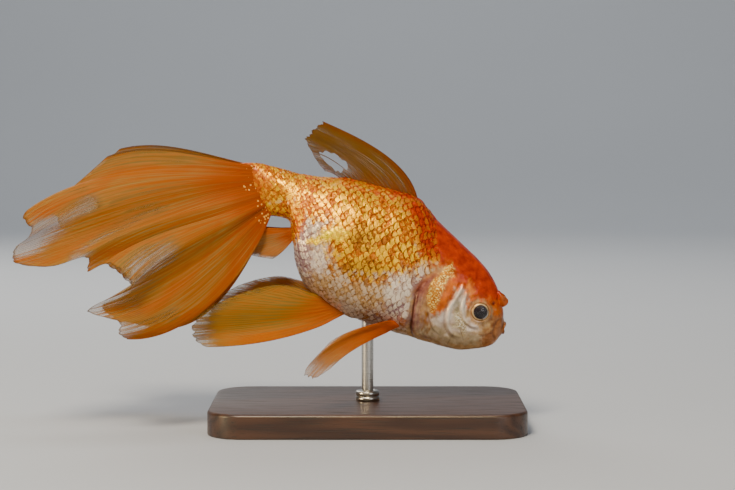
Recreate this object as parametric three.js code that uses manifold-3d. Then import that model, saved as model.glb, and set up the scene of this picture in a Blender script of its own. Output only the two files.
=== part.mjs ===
// A fancy goldfish of the fantail kind, life size, nosing down at the bottom, on a plain display stand.
// Millimetres, +Z up. The fish heads towards +X, and its right side faces -Y.
// The origin is the centre of the stand's underside.
import * as THREE from "three";
import { mergeVertices } from "three/addons/utils/BufferGeometryUtils.js";
import Module from "manifold-3d";

const wasm = await Module();
wasm.setup();

// ---------------------------------------------------------------- driving dimensions

const BASE = { length: 104, width: 66, thickness: 8, corner: 12, chamfer: 1 };
const ROD = { x: 0, radius: 2, ferruleRadius: 4, ferruleHeight: 3, reach: 40 };
const EYE = { x: 36.9, z: 38.5, radius: 4.0, standsProud: 1.35 };
const NOSTRIL_FLAP = { x: 44.2, y: 3.5, z: 42.3, length: 3.3, height: 2.2, thickness: 0.7, swing: 14,
  droop: 28 };
const FIN_THICKNESS = 0.6;
const GILL_PLATE_THICKNESS = 2.4;
const GAP = 0.3;
const BODY_FACETS = { along: 32, around: 26 };

// Ribs of the body from the lips to the root of the tail. Each runs from the back to the belly:
// back x, back z, belly x, belly z, half width, level of the widest place (-1 belly to 1 back), fullness.
const RIBS = [
  [45.7, 34.4, 44.9, 30.2, 2.3, 0.0, 2.0],
  [45.0, 39.8, 41.8, 26.8, 4.6, 0.0, 2.1],
  [43.3, 45.9, 36.6, 25.4, 6.9, -0.05, 2.2],
  [38.9, 53.1, 29.7, 25.1, 9.0, -0.1, 2.2],
  [31.6, 60.4, 21.7, 27.1, 10.7, -0.12, 2.2],
  [24.0, 67.7, 13.8, 29.5, 12.1, -0.18, 2.15],
  [16.2, 75.8, 4.2, 32.5, 13.6, -0.22, 2.1],
  [4.2, 79.3, -5.5, 36.4, 14.4, -0.25, 2.1],
  [-6.5, 82.0, -14.2, 41.4, 14.2, -0.25, 2.1],
  [-15.8, 82.7, -20.6, 46.6, 12.4, -0.25, 2.1],
  [-21.0, 83.4, -23.8, 53.8, 9.4, -0.2, 2.0],
  [-24.6, 84.2, -24.6, 61.0, 7.0, -0.1, 2.0],
  [-28.2, 85.3, -25.6, 67.6, 5.4, 0.0, 2.0],
  [-32.4, 86.4, -30.2, 69.6, 4.4, 0.0, 2.0],
  [-37.0, 87.4, -35.0, 69.8, 3.4, 0.0, 2.0],
];

// Lines seen from the side, as x and z: where the head, the gill covers, the lower jaw and the stalk part.
const GILL_LINE = [[27, 78], [24.2, 66], [25.5, 58.3], [23.2, 50.7], [20.2, 49.3], [17.8, 46], [16.5, 42.7],
  [15.5, 38], [15.2, 33.3], [16.8, 28], [17.5, 20]];
const GILL_COVER = [[10, 52.6], [24.5, 52.8], [30.2, 51.4], [30.6, 46.4], [28.4, 41.5], [26.8, 36.3],
  [27.2, 31], [22, 29.4], [10, 29.6]];
const UPPER_LIP = [[50, 34.9], [43.2, 34.2], [41.4, 31.1], [50, 31.6]];
const JAW = [[50, 31.3], [41.2, 30.8], [38.4, 28.8], [36.6, 20], [50, 20]];
const STALK_LINE = [[-21.5, 95], [-24.4, 76], [-27.0, 60]];

// A fin is a fan of guide rays from its upper or front edge to its lower or rear edge. Each ray has
// its place across the fin, its tip's x, z and distance from the middle plane, and its headings
// out of the root and at the tip, in degrees from +X towards +Z.
const TAIL_UPPER_ROOT = [[-34.4, 85.8], [-32.6, 78.3]];
const TAIL_LOWER_ROOT = [[-32.4, 77.5], [-31.8, 70.9]];
const TAIL_RIGHT_UPPER = [
  [0.0, -86.1, 89.5, 6, 172, 203],
  [0.15, -100.4, 76.9, 12, 174, 212],
  [0.3, -111.0, 71.9, 17, 176, 216],
  [0.45, -109.6, 64.3, 20, 179, 218],
  [0.58, -114.5, 60.2, 22, 183, 202],
  [0.7, -115.1, 56.2, 24, 186, 194],
  [0.85, -102.5, 54.7, 25, 190, 200],
  [1.0, -90.4, 58.6, 24, 195, 217],
];
const TAIL_RIGHT_LOWER = [
  [0.0, -90.9, 56.4, 24.5, 196, 216],
  [0.16, -90.8, 52.8, 26, 201, 210],
  [0.3, -83.6, 55.2, 27, 205, 222],
  [0.45, -75.2, 48.8, 28, 210, 232],
  [0.6, -89.5, 41.2, 29, 217, 192],
  [0.75, -81.4, 37.3, 28, 226, 192],
  [0.88, -80.1, 33.5, 26, 238, 184],
  [1.0, -78.4, 31.4, 24, 252, 172],
];
const TAIL_LEFT_UPPER = [
  [0.0, -83.6, 91.8, 6, 171, 196],
  [0.2, -96.3, 81.2, 14, 174, 205],
  [0.4, -109.6, 73.0, 20, 178, 215],
  [0.6, -106.2, 64.9, 24, 182, 214],
  [0.8, -102.4, 59.9, 26, 188, 214],
  [1.0, -93.5, 56.0, 26, 195, 217],
];
const TAIL_LEFT_LOWER = [
  [0.0, -92.8, 53.6, 26, 196, 216],
  [0.2, -86.2, 47.2, 28, 202, 222],
  [0.4, -79.5, 40.0, 30, 210, 226],
  [0.6, -93.5, 36.5, 30, 217, 196],
  [0.8, -82.8, 30.7, 28, 230, 190],
  [1.0, -72.2, 29.1, 26, 246, 176],
];
const DORSAL_ROOT = [[17.0, 74.0], [-7.5, 81.2]];
const DORSAL = [
  [0.0, -15.1, 101.3, 0, 98, 156],
  [0.3, -19.1, 97.2, 2, 116, 158],
  [0.6, -20.5, 94.9, 2.5, 130, 165],
  [0.8, -17.5, 89.0, 1.5, 140, 172],
  [1.0, -14.2, 84.6, 1, 150, 178],
];
const DORSAL_TEAR = { from: 0.66, to: 0.92, root: 0.42, tip: 0.8 };
const PELVIC_ROOT = [[-5.6, 37.6], [-12.0, 42.4]];
const PELVIC_RIGHT = [
  [0.0, -53.4, 27.4, 12, 206, 178],
  [0.3, -58.0, 31.4, 13, 200, 184],
  [0.6, -52.4, 40.4, 13, 192, 180],
  [0.85, -32.0, 47.4, 11, 176, 164],
  [1.0, -19.4, 45.2, 7, 165, 160],
];
const PELVIC_LEFT = [
  [0.0, -51.0, 29.6, 9, 204, 184],
  [0.3, -54.0, 36.4, 10, 197, 188],
  [0.6, -46.0, 44.6, 10, 188, 178],
  [0.85, -31.0, 49.0, 9, 174, 160],
  [1.0, -19.0, 46.5, 6, 162, 156],
];
const PECTORAL_ROOT = [[11.4, 33.4], [12.2, 36.8]];
const PECTORAL_RIGHT = [
  [0.0, -12.1, 21.9, 26, 196, 222],
  [0.35, -17.5, 18.9, 28, 194, 232],
  [0.7, -20.1, 21.5, 26, 192, 230],
  [1.0, -12.2, 29.9, 20, 190, 212],
];
const PECTORAL_LEFT = [
  [0.0, -14.0, 41.0, 24, 176, 166],
  [0.35, -22.0, 46.0, 27, 170, 160],
  [0.7, -22.5, 52.0, 28, 162, 154],
  [1.0, -13.0, 53.0, 25, 152, 146],
];
const ANAL_ROOT = [[-24.6, 66.2], [-24.0, 62.6]];
const ANAL = [
  [0.0, -36.6, 66.0, 3.5, 196, 182],
  [0.35, -41.0, 61.0, 5, 206, 192],
  [0.7, -39.0, 57.2, 5, 218, 200],
  [1.0, -31.5, 55.6, 4, 230, 208],
];

// A fin gathers into soft pleats: their depth at the rim, how many lie across it, how they slip along
// the rays, where they start, and how early the fin spreads from the middle plane (under 1 is early).
const UPPER_PLEATS = { depth: 2.6, count: 2.2, slip: 0.35, start: 0.1, spread: 0.8 };
const LOWER_PLEATS = { depth: 2.8, count: 1.8, slip: 0.35, start: 0.3, spread: 0.75 };
const DORSAL_PLEATS = { depth: 1.0, count: 1.3, slip: 0.2, start: 0, spread: 1 };
const PELVIC_PLEATS = { depth: 1.2, count: 1.7, slip: 0.2, start: 0.1, spread: 0.8 };
const PECTORAL_PLEATS = { depth: 0.7, count: 1.4, slip: 0.2, start: 0, spread: 0.9 };
const ANAL_PLEATS = { depth: 0.6, count: 1.2, slip: 0.2, start: 0, spread: 0.9 };

// Every fin: its side (-1 right, 1 left), its root line with how far out that starts and ends, its guide
// rays, its pleats, and how many facets run along and across it.
const RIGHT = -1;
const LEFT = 1;
const FINS = {
  tail_fin_right_upper: [RIGHT, TAIL_UPPER_ROOT, [0.8, 1.2], TAIL_RIGHT_UPPER, UPPER_PLEATS, [12, 11]],
  tail_fin_right_lower: [RIGHT, TAIL_LOWER_ROOT, [1.2, 1.8], TAIL_RIGHT_LOWER, LOWER_PLEATS, [11, 11]],
  tail_fin_left_upper: [LEFT, TAIL_UPPER_ROOT, [0.8, 1.2], TAIL_LEFT_UPPER, UPPER_PLEATS, [12, 10]],
  tail_fin_left_lower: [LEFT, TAIL_LOWER_ROOT, [1.2, 1.8], TAIL_LEFT_LOWER, LOWER_PLEATS, [12, 9]],
  dorsal_fin: [RIGHT, DORSAL_ROOT, [0, 0], DORSAL, DORSAL_PLEATS, [10, 11]],
  pelvic_fin_right: [RIGHT, PELVIC_ROOT, [3.4, 2.6], PELVIC_RIGHT, PELVIC_PLEATS, [9, 7]],
  pelvic_fin_left: [LEFT, PELVIC_ROOT, [3.4, 2.6], PELVIC_LEFT, PELVIC_PLEATS, [9, 7]],
  pectoral_fin_right: [RIGHT, PECTORAL_ROOT, [9.6, 10.4], PECTORAL_RIGHT, PECTORAL_PLEATS, [8, 5]],
  pectoral_fin_left: [LEFT, PECTORAL_ROOT, [9.6, 10.4], PECTORAL_LEFT, PECTORAL_PLEATS, [8, 5]],
  anal_fin_right: [RIGHT, ANAL_ROOT, [1.3, 1.3], ANAL, ANAL_PLEATS, [5, 4]],
  anal_fin_left: [LEFT, ANAL_ROOT, [1.3, 1.3], ANAL, ANAL_PLEATS, [5, 4]],
};

// Each sub-part's colour, roughness and metalness.
const FINISH = {
  head: [0xc8400a, 0.45, 0],
  upper_lip: [0xc96a3a, 0.45, 0],
  lower_jaw: [0xc98a6a, 0.45, 0],
  gill_cover: [0xd9b25a, 0.35, 0],
  trunk: [0xe08a2a, 0.35, 0],
  tail_stalk: [0xd9721a, 0.45, 0],
  nostril_flap: [0xb8400e, 0.5, 0],
  eye: [0x15100e, 0.1, 0],
  tail_fin: [0xd9741c, 0.5, 0],
  dorsal_fin: [0x9a4a12, 0.5, 0],
  pelvic_fin: [0xd9801c, 0.5, 0],
  pectoral_fin: [0xd9661c, 0.5, 0],
  anal_fin: [0xc9741c, 0.5, 0],
  stand_base: [0x3f2c20, 0.5, 0],
  stand_ferrule: [0xb8b6b0, 0.3, 1],
  stand_rod: [0xb8b6b0, 0.3, 1],
};

// ---------------------------------------------------------------- curves

// A smooth value through evenly spaced rows of numbers, at place t in rows.
function alongRows(rows, t) {
  const i = Math.min(Math.max(Math.floor(t), 0), rows.length - 2);
  const f = t - i;
  const [a, b, c, d] = [i - 1, i, i + 1, i + 2].map((k) => rows[Math.min(Math.max(k, 0), rows.length - 1)]);
  return b.map(
    (_, k) =>
      0.5 *
      (2 * b[k] +
        (c[k] - a[k]) * f +
        (2 * a[k] - 5 * b[k] + 4 * c[k] - d[k]) * f * f +
        (3 * b[k] - a[k] - 3 * c[k] + d[k]) * f * f * f),
  );
}

// A smooth row at place v, through rows whose first number is their own place.
function acrossRows(rows, v) {
  let i = 0;
  while (i < rows.length - 2 && v > rows[i + 1][0]) i++;
  return alongRows(rows, i + (v - rows[i][0]) / (rows[i + 1][0] - rows[i][0]));
}

// ---------------------------------------------------------------- body

// A point on the body: t is the rib, angle runs from 0 on the back, by the right side, to a full turn.
function bodyPoint(t, angle, grow = 0) {
  const [backX, backZ, bellyX, bellyZ, halfWidth, level, fullness] = alongRows(RIBS, t);
  const up = new THREE.Vector2(backX - bellyX, backZ - bellyZ);
  const half = up.length() / 2;
  up.normalize();
  const power = 2 / fullness;
  const c = Math.cos(angle);
  const s = Math.sin(angle);
  const reach = c > 0 ? 1 - level : 1 + level;
  const height = level * half + (reach * half + grow) * Math.sign(c) * Math.abs(c) ** power;
  const side = (halfWidth + grow) * Math.sign(s) * Math.abs(s) ** power;
  return new THREE.Vector3((backX + bellyX) / 2 + up.x * height, -side, (backZ + bellyZ) / 2 + up.y * height);
}

// The whole body as one closed loft, grown or shrunk by an even distance.
function bodySolid(grow) {
  const { along: alongSteps, around: aroundSteps } = BODY_FACETS;
  const last = RIBS.length - 1;
  const positions = [];
  const index = [];
  for (let i = 0; i <= alongSteps; i++)
    for (let j = 0; j < aroundSteps; j++)
      positions.push(...bodyPoint((last * i) / alongSteps, (2 * Math.PI * j) / aroundSteps, grow).toArray());
  for (let i = 0; i < alongSteps; i++)
    for (let j = 0; j < aroundSteps; j++) {
      const a = i * aroundSteps + j;
      const b = i * aroundSteps + ((j + 1) % aroundSteps);
      index.push(a, a + aroundSteps, b, b, a + aroundSteps, b + aroundSteps);
    }
  for (const [ring, outward] of [[0, 1], [alongSteps, -1]]) {
    const t = (last * ring) / alongSteps;
    const centre = bodyPoint(t, 0).add(bodyPoint(t, Math.PI)).divideScalar(2);
    centre.x += outward * (0.5 + grow);
    const c = positions.length / 3;
    positions.push(...centre.toArray());
    for (let j = 0; j < aroundSteps; j++) {
      const pair = [ring * aroundSteps + j, ring * aroundSteps + ((j + 1) % aroundSteps)];
      if (outward < 0) pair.reverse();
      index.push(c, ...pair);
    }
  }
  return toSolid(indexed(positions, index));
}

// How far out the body's right side is at x and z, as a negative y.
function flank(x, z) {
  let best = [Infinity, 0];
  for (let t = 0; t < RIBS.length - 1; t += 0.05)
    for (let angle = 0.05; angle < Math.PI; angle += 0.05) {
      const p = bodyPoint(t, angle);
      const away = Math.hypot(p.x - x, p.z - z);
      if (away < best[0]) best = [away, p.y];
    }
  return best[1];
}

// ---------------------------------------------------------------- solids

function indexed(positions, index) {
  return new THREE.BufferGeometry()
    .setAttribute("position", new THREE.Float32BufferAttribute(positions, 3))
    .setIndex(index);
}

function toSolid(geometry) {
  geometry.deleteAttribute("normal");
  geometry.deleteAttribute("uv");
  const merged = mergeVertices(geometry, 1e-4);
  return new wasm.Manifold(
    new wasm.Mesh({
      numProp: 3,
      vertProperties: merged.attributes.position.array,
      triVerts: new Uint32Array(merged.index.array),
    }),
  );
}

// The largest piece of a cut solid, as a geometry.
function toGeometry(solid) {
  const largest = solid.decompose().sort((a, b) => b.volume() - a.volume())[0];
  const mesh = largest.getMesh();
  const geometry = indexed(Array.from(mesh.vertProperties), Array.from(mesh.triVerts));
  geometry.computeVertexNormals();
  return geometry;
}

// A prism across the fish, from y = near to y = far, whose outline is seen from the side.
function acrossFish(outline, near = -40, far = 40) {
  const shape = new THREE.Shape(outline.map(([x, z]) => new THREE.Vector2(x, z)));
  const geometry = new THREE.ExtrudeGeometry(shape, { depth: far - near, bevelEnabled: false });
  geometry.rotateX(Math.PI / 2);
  geometry.translate(0, far, 0);
  return toSolid(geometry);
}

// Everything on one side of a line that runs from top to bottom.
const FAR = 200;
const ahead = (line, by = 0) =>
  acrossFish([...line.map(([x, z]) => [x + by, z]), [FAR, line.at(-1)[1] - FAR], [FAR, line[0][1] + FAR],
    [line[0][0] + by, line[0][1] + FAR]]);
const behind = (line, by = 0) =>
  acrossFish([...line.map(([x, z]) => [x - by, z]), [line.at(-1)[0] - by, line.at(-1)[1] - FAR],
    [-FAR, line.at(-1)[1] - FAR], [-FAR, line[0][1] + FAR], [line[0][0] - by, line[0][1] + FAR]]);

// A closed outline moved outwards by an even distance.
function grownOutline(outline, by) {
  const points = outline.map(([x, z]) => new THREE.Vector2(x, z));
  const hand = Math.sign(THREE.ShapeUtils.area(points));
  const normal = (p, q) => new THREE.Vector2(q.y - p.y, p.x - q.x).normalize().multiplyScalar(hand);
  return points.map((p, i) => {
    const before = normal(points.at(i - 1), p);
    const after = normal(p, points[(i + 1) % points.length]);
    const mitre = before.add(after).divideScalar(2);
    return p.clone().addScaledVector(mitre, by / Math.max(mitre.lengthSq(), 0.3)).toArray();
  });
}

// ---------------------------------------------------------------- fins

const turn = THREE.MathUtils.degToRad;

// The points of a ray, at place v across the fan. side is -1 right, 1 left.
function finRay(rows, root, rootY, side, steps, v, pleats) {
  const [, tipX, tipZ, tipY, headingOut, headingIn] = acrossRows(rows, v);
  const start = new THREE.Vector2(...root[0]).lerp(new THREE.Vector2(...root[1]), v);
  const startY = THREE.MathUtils.lerp(rootY[0], rootY[1], v);
  const reach = start.distanceTo(new THREE.Vector2(tipX, tipZ));
  const [a, b] = [turn(headingOut), turn(headingIn)];
  const points = [];
  for (let i = 0; i <= steps; i++) {
    const u = i / steps;
    const out = reach * u * (1 - u) * (1 - u);
    const back = reach * u * u * (u - 1);
    const blend = u * u * (3 - 2 * u);
    const wave = Math.sin(2 * Math.PI * (pleats.count * v + pleats.slip * u + pleats.start));
    const y = THREE.MathUtils.lerp(startY, tipY, u ** pleats.spread) + pleats.depth * u ** 1.4 * wave;
    points.push(
      new THREE.Vector3(
        THREE.MathUtils.lerp(start.x, tipX, blend) + out * Math.cos(a) + back * Math.cos(b),
        side * y,
        THREE.MathUtils.lerp(start.y, tipZ, blend) + out * Math.sin(a) + back * Math.sin(b),
      ),
    );
  }
  return points;
}

// A closed sheet of even thickness over a grid of points, left open where keep says no.
function sheet(grid, thickness, keep) {
  const [nu, nv] = [grid[0].length, grid.length];
  const at = (i, j) => grid[Math.min(Math.max(j, 0), nv - 1)][Math.min(Math.max(i, 0), nu - 1)];
  const positions = [];
  for (const side of [1, -1])
    for (let j = 0; j < nv; j++)
      for (let i = 0; i < nu; i++) {
        const along = at(i + 1, j).clone().sub(at(i - 1, j));
        const across = at(i, j + 1).clone().sub(at(i, j - 1));
        const normal = along.cross(across).normalize();
        positions.push(...at(i, j).clone().addScaledVector(normal, (side * thickness) / 2).toArray());
      }
  const index = [];
  const under = nu * nv;
  const used = new Set();
  for (let j = 0; j < nv - 1; j++)
    for (let i = 0; i < nu - 1; i++)
      if (keep((i + 0.5) / (nu - 1), (j + 0.5) / (nv - 1))) used.add(j * nu + i);
  for (const cell of used) {
    const [a, b, c, d] = [cell, cell + 1, cell + nu + 1, cell + nu];
    index.push(a, b, c, a, c, d, a + under, c + under, b + under, a + under, d + under, c + under);
    const i = cell % nu;
    const walls = [
      [a, b, cell - nu, true],
      [b, c, cell + 1, i < nu - 2],
      [c, d, cell + nu, true],
      [d, a, cell - 1, i > 0],
    ];
    for (const [p, q, next, inRow] of walls)
      if (!(inRow && used.has(next))) index.push(p, p + under, q, q, p + under, q + under);
  }
  return toSolid(indexed(positions, index));
}

const inTear = (u, v) =>
  v > DORSAL_TEAR.from && v < DORSAL_TEAR.to && u > DORSAL_TEAR.root && u < DORSAL_TEAR.tip;

function fin(name) {
  const [side, root, rootY, rays, pleats, [along, across]] = FINS[name];
  const grid = [];
  for (let j = 0; j <= across; j++) grid.push(finRay(rays, root, rootY, side, along, j / across, pleats));
  const keep = name === "dorsal_fin" ? (u, v) => !inTear(u, v) : () => true;
  return sheet(grid, FIN_THICKNESS, keep).subtract(grown);
}

// ---------------------------------------------------------------- parts of the body

const whole = bodySolid(0);
const grown = bodySolid(GAP);
const headEnd = ahead(GILL_LINE, GAP);

function eyeball(side, grow = 0) {
  const geometry = new THREE.SphereGeometry(EYE.radius + grow, 14, 9);
  geometry.rotateX(Math.PI / 2);
  geometry.translate(EYE.x, side * (-flank(EYE.x, EYE.z) - EYE.radius + EYE.standsProud), EYE.z);
  return toSolid(geometry);
}

function head() {
  const coverRoom = bodySolid(1)
    .subtract(bodySolid(-GILL_PLATE_THICKNESS - GAP))
    .intersect(acrossFish(grownOutline(GILL_COVER, GAP)));
  return whole
    .intersect(headEnd)
    .subtract(coverRoom)
    .subtract(acrossFish(grownOutline(JAW, GAP)))
    .subtract(acrossFish(grownOutline(UPPER_LIP, GAP)))
    .subtract(eyeball(RIGHT, GAP))
    .subtract(eyeball(LEFT, GAP));
}

// A thin plate of the body's own surface, on one side of the throat.
function gillCover(side) {
  const plate = whole.subtract(bodySolid(-GILL_PLATE_THICKNESS)).intersect(headEnd);
  const [near, far] = side === RIGHT ? [-40, -2] : [2, 40];
  return plate.intersect(acrossFish(GILL_COVER, near, far));
}

function nostrilFlap(side) {
  const geometry = new THREE.SphereGeometry(1, 9, 7);
  geometry.scale(NOSTRIL_FLAP.length, NOSTRIL_FLAP.thickness, NOSTRIL_FLAP.height);
  geometry.rotateY(turn(NOSTRIL_FLAP.droop));
  geometry.rotateZ(side * turn(NOSTRIL_FLAP.swing));
  geometry.translate(NOSTRIL_FLAP.x, side * NOSTRIL_FLAP.y, NOSTRIL_FLAP.z);
  return toSolid(geometry).subtract(grown);
}

// ---------------------------------------------------------------- stand

// A flat board with round corners and a chamfer all round.
function standBase() {
  const { length, width, thickness, corner, chamfer } = BASE;
  const [a, b] = [length / 2 - chamfer, width / 2 - chamfer];
  const shape = new THREE.Shape();
  shape.absarc(a - corner, b - corner, corner, 0, Math.PI / 2);
  shape.absarc(corner - a, b - corner, corner, Math.PI / 2, Math.PI);
  shape.absarc(corner - a, corner - b, corner, Math.PI, 1.5 * Math.PI);
  shape.absarc(a - corner, corner - b, corner, 1.5 * Math.PI, 2 * Math.PI);
  shape.closePath();
  const geometry = new THREE.ExtrudeGeometry(shape, {
    depth: thickness - 2 * chamfer,
    bevelThickness: chamfer,
    bevelSize: chamfer,
    bevelSegments: 1,
    curveSegments: 3,
  });
  geometry.translate(0, 0, chamfer);
  return toSolid(geometry);
}

function upright(radius, from, to) {
  const geometry = new THREE.CylinderGeometry(radius, radius, to - from, 24);
  geometry.rotateX(Math.PI / 2);
  geometry.translate(ROD.x, 0, (from + to) / 2);
  return toSolid(geometry);
}

// ---------------------------------------------------------------- the group

const ferruleTop = BASE.thickness + GAP + ROD.ferruleHeight;
const parts = {
  head: head(),
  upper_lip: whole.intersect(acrossFish(UPPER_LIP)),
  lower_jaw: whole.intersect(acrossFish(JAW)),
  gill_cover_right: gillCover(RIGHT),
  gill_cover_left: gillCover(LEFT),
  trunk: whole.intersect(behind(GILL_LINE)).intersect(ahead(STALK_LINE, GAP)),
  tail_stalk: whole.intersect(behind(STALK_LINE)),
  eye_right: eyeball(RIGHT),
  eye_left: eyeball(LEFT),
  nostril_flap_right: nostrilFlap(RIGHT),
  nostril_flap_left: nostrilFlap(LEFT),
  stand_base: standBase(),
  stand_ferrule: upright(ROD.ferruleRadius, BASE.thickness + GAP, ferruleTop),
  stand_rod: upright(ROD.radius, ferruleTop + GAP, ROD.reach).subtract(grown),
};
for (const name of Object.keys(FINS)) parts[name] = fin(name);

const goldfish = new THREE.Group();
for (const [name, solid] of Object.entries(parts)) {
  const [color, roughness, metalness] = FINISH[name.replace(/_(right|left).*/, "")];
  const material = new THREE.MeshStandardMaterial({ color, roughness, metalness });
  const mesh = new THREE.Mesh(toGeometry(solid), material);
  mesh.name = name;
  goldfish.add(mesh);
}

export default goldfish;
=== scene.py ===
# %% [markdown]
# # A life-size fancy goldfish, as a museum model
#
# This lesson builds the looks of a goldfish around a fixed frame of plain solids, from the same ribs, fin
# roots and guide rays that the frame was made from. A fish is a soft tapering body, a coat of thin
# overlapping scales and a few fans of bony rays, and each of the three wants its own way of making: a
# loft of rings for the body, one small shell repeated along the rings for the scales, and bent sheets for
# the fins. All of them come from a few formulas, so they meet without fitting.

# %% The frame
import math
from collections import namedtuple

import bpy
import numpy as np
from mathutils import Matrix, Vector


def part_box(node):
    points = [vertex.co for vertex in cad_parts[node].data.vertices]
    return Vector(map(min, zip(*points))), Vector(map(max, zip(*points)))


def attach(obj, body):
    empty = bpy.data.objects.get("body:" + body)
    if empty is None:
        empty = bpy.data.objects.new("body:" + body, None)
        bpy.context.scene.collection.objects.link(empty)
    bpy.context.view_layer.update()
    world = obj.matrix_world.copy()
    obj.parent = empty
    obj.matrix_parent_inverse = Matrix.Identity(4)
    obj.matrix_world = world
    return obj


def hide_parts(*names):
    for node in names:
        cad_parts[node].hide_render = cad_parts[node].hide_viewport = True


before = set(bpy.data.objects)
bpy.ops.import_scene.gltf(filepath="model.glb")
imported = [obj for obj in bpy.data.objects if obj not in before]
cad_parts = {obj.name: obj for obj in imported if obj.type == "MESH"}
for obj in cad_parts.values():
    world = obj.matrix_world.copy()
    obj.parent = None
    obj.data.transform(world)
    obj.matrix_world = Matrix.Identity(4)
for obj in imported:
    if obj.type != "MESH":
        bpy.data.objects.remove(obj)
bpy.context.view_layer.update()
MM = 0.001
chance = np.random.default_rng(7)

# %% [markdown]
# ## The camera
#
# The fish is seen from its right side, from a little above its middle, through a long lens, so that near
# and far parts keep nearly the same size. A camera in Blender looks along its own -Z, and an Empty or a
# constraint could aim it. Here its turn comes from the direction to the point it looks at, which keeps
# the scene free of helpers.

# %% Camera
SENSOR_WIDTH = 36.0
VIEW_DISTANCE = 650.0
VIEW_WIDTH = 245.0
VIEW_PITCH = math.radians(4)
LOOK_AT = Vector((0, 0, 60))


def put(name, data, where=(0, 0, 0), towards=None):
    """A new object in the scene. A camera or a lamp also gets a direction to look in."""
    made = bpy.data.objects.new(name, data)
    made.location = where
    if towards:
        made.rotation_euler = towards.to_track_quat("-Z", "Y").to_euler()
    bpy.context.scene.collection.objects.link(made)
    return made


towards = Vector((0, math.cos(VIEW_PITCH), -math.sin(VIEW_PITCH)))
camera = put("camera", bpy.data.cameras.new("camera"), (LOOK_AT - VIEW_DISTANCE * towards) * MM, towards)
camera.data.sensor_width = SENSOR_WIDTH
camera.data.lens = SENSOR_WIDTH * VIEW_DISTANCE / VIEW_WIDTH
bpy.context.scene.camera = camera
print("lens", round(camera.data.lens, 1), "mm, camera at", tuple(round(c, 3) for c in camera.location))

# %% [markdown]
# ## Small helpers
#
# Every colour below is written as the hex number that a paint program shows. Blender mixes light in
# linear values, so one function turns the hex into those. A second function adds one node to a material,
# with its settings and what goes into it, and every material is built with it. A node shows only the
# sockets that its settings call for, so the values can be given in the order that the node shows them.

# %% Colours
def linear(hex_colour):
    """An sRGB hex colour as the linear red, green, blue and alpha that Blender wants."""
    values = [int(hex_colour[k : k + 2], 16) / 255 for k in (1, 3, 5)]
    return [v / 12.92 if v <= 0.04045 else ((v + 0.055) / 1.055) ** 2.4 for v in values] + [1.0]


print("deep orange is", [round(v, 3) for v in linear("#D0560C")])

# %% Nodes
# the setting that the second word of a kind stands for, as in "Math ADD"
SECOND_WORD = {"Math": "operation", "VectorMath": "operation", "Mix": "data_type",
               "Attribute": "attribute_name", "MapRange": "interpolation_type"}


def new_material(name):
    """An empty node material, and the function that adds a node to it."""
    material = bpy.data.materials.new(name)
    material.use_nodes = True
    tree = material.node_tree
    tree.nodes.clear()

    def add(kind, *values, out=0, **named):
        """Adds one shader node and returns one of its outputs. Values go into the sockets that it shows, in
        order. A name with a capital is a socket's too, and one without is a setting. A socket given as a
        value is linked, and a hex colour is turned linear."""
        kind, *second = kind.split()
        node = tree.nodes.new("ShaderNode" + kind)
        for word in second:
            setattr(node, SECOND_WORD[kind], word)
        for setting in [key for key in named if key.islower()]:
            setattr(node, setting, named.pop(setting))
        sockets = list(zip([s for s in node.inputs if s.enabled], values))
        sockets += [(node.inputs[key.replace("_", " ")], value) for key, value in named.items()]
        for socket, value in sockets:
            if isinstance(value, bpy.types.NodeSocket):
                tree.links.new(value, socket)
            else:
                socket.default_value = linear(value) if isinstance(value, str) else value
        shown = [s for s in node.outputs if s.enabled and out in (0, s.name)]
        return shown[0] if shown else node

    return material, add


def per(millimetres):
    """The scale of a noise whose grain is that many millimetres."""
    return 1 / (millimetres * MM)


print("a grain of 2 mm is a noise of scale", per(2))

# %% [markdown]
# ## The room
#
# A plain pale floor runs up into a plain back wall in one sweep, as a photographer's paper roll does, so
# no corner line shows. It is a strip of points along a curve. A plane with a bevel modifier would do the
# same, but the strip is one formula. The paper is matt, with a faint uneven tone.

# %% Floor and back wall
FLOOR_FRONT, FLOOR_BACK, SWEEP_RADIUS, WALL_TOP, FLOOR_HALF_WIDTH = -4.0, 1.0, 0.8, 4.0, 4.0

bend = np.linspace(0, math.pi / 2, 25)
sweep = [(FLOOR_FRONT, 0.0)]
sweep += [(FLOOR_BACK + SWEEP_RADIUS * math.sin(a), SWEEP_RADIUS * (1 - math.cos(a))) for a in bend]
sweep += [(FLOOR_BACK + SWEEP_RADIUS, WALL_TOP)]
corners = [(side * FLOOR_HALF_WIDTH, y, z) for y, z in sweep for side in (-1, 1)]
strips = [(2 * k, 2 * k + 1, 2 * k + 3, 2 * k + 2) for k in range(len(sweep) - 1)]
paper = bpy.data.meshes.new("backdrop")
paper.from_pydata(corners, [], strips)
paper.shade_smooth()
backdrop = put("backdrop", paper)

paper_matt, add = new_material("paper roll, matt")
tone = add("TexNoise", add("TexCoord", out="Object"), 3.0, 3.0)
shade = add("Mix RGBA", tone, "#BEC2C6", "#C6CACE")
add("OutputMaterial", add("BsdfPrincipled", Base_Color=shade, Roughness=0.9))
paper.materials.append(paper_matt)
print("the paper runs through", len(sweep), "lines")

# %% [markdown]
# ## The light
#
# One large soft lamp stands high in front, as in a studio, and makes the bright band along the upper
# flank. A weaker one fills the belly, one from behind lets the fins glow at their edges, and one lights
# the wall. Two small ones give no light to matt surfaces and show only as reflections, which makes the
# scales sparkle without washing out their colour. The world adds an even grey so that no shadow is black.

# %% Lamps
def lamp(name, where, size, power, colour, aim=None):
    """A square area lamp that shines at the middle of the fish, or at another place."""
    light = bpy.data.lights.new(name, "AREA")
    light.size = size
    light.energy = power
    light.color = linear(colour)[:3]
    return put(name, light, where, Vector(aim or LOOK_AT * MM) - Vector(where))


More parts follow.
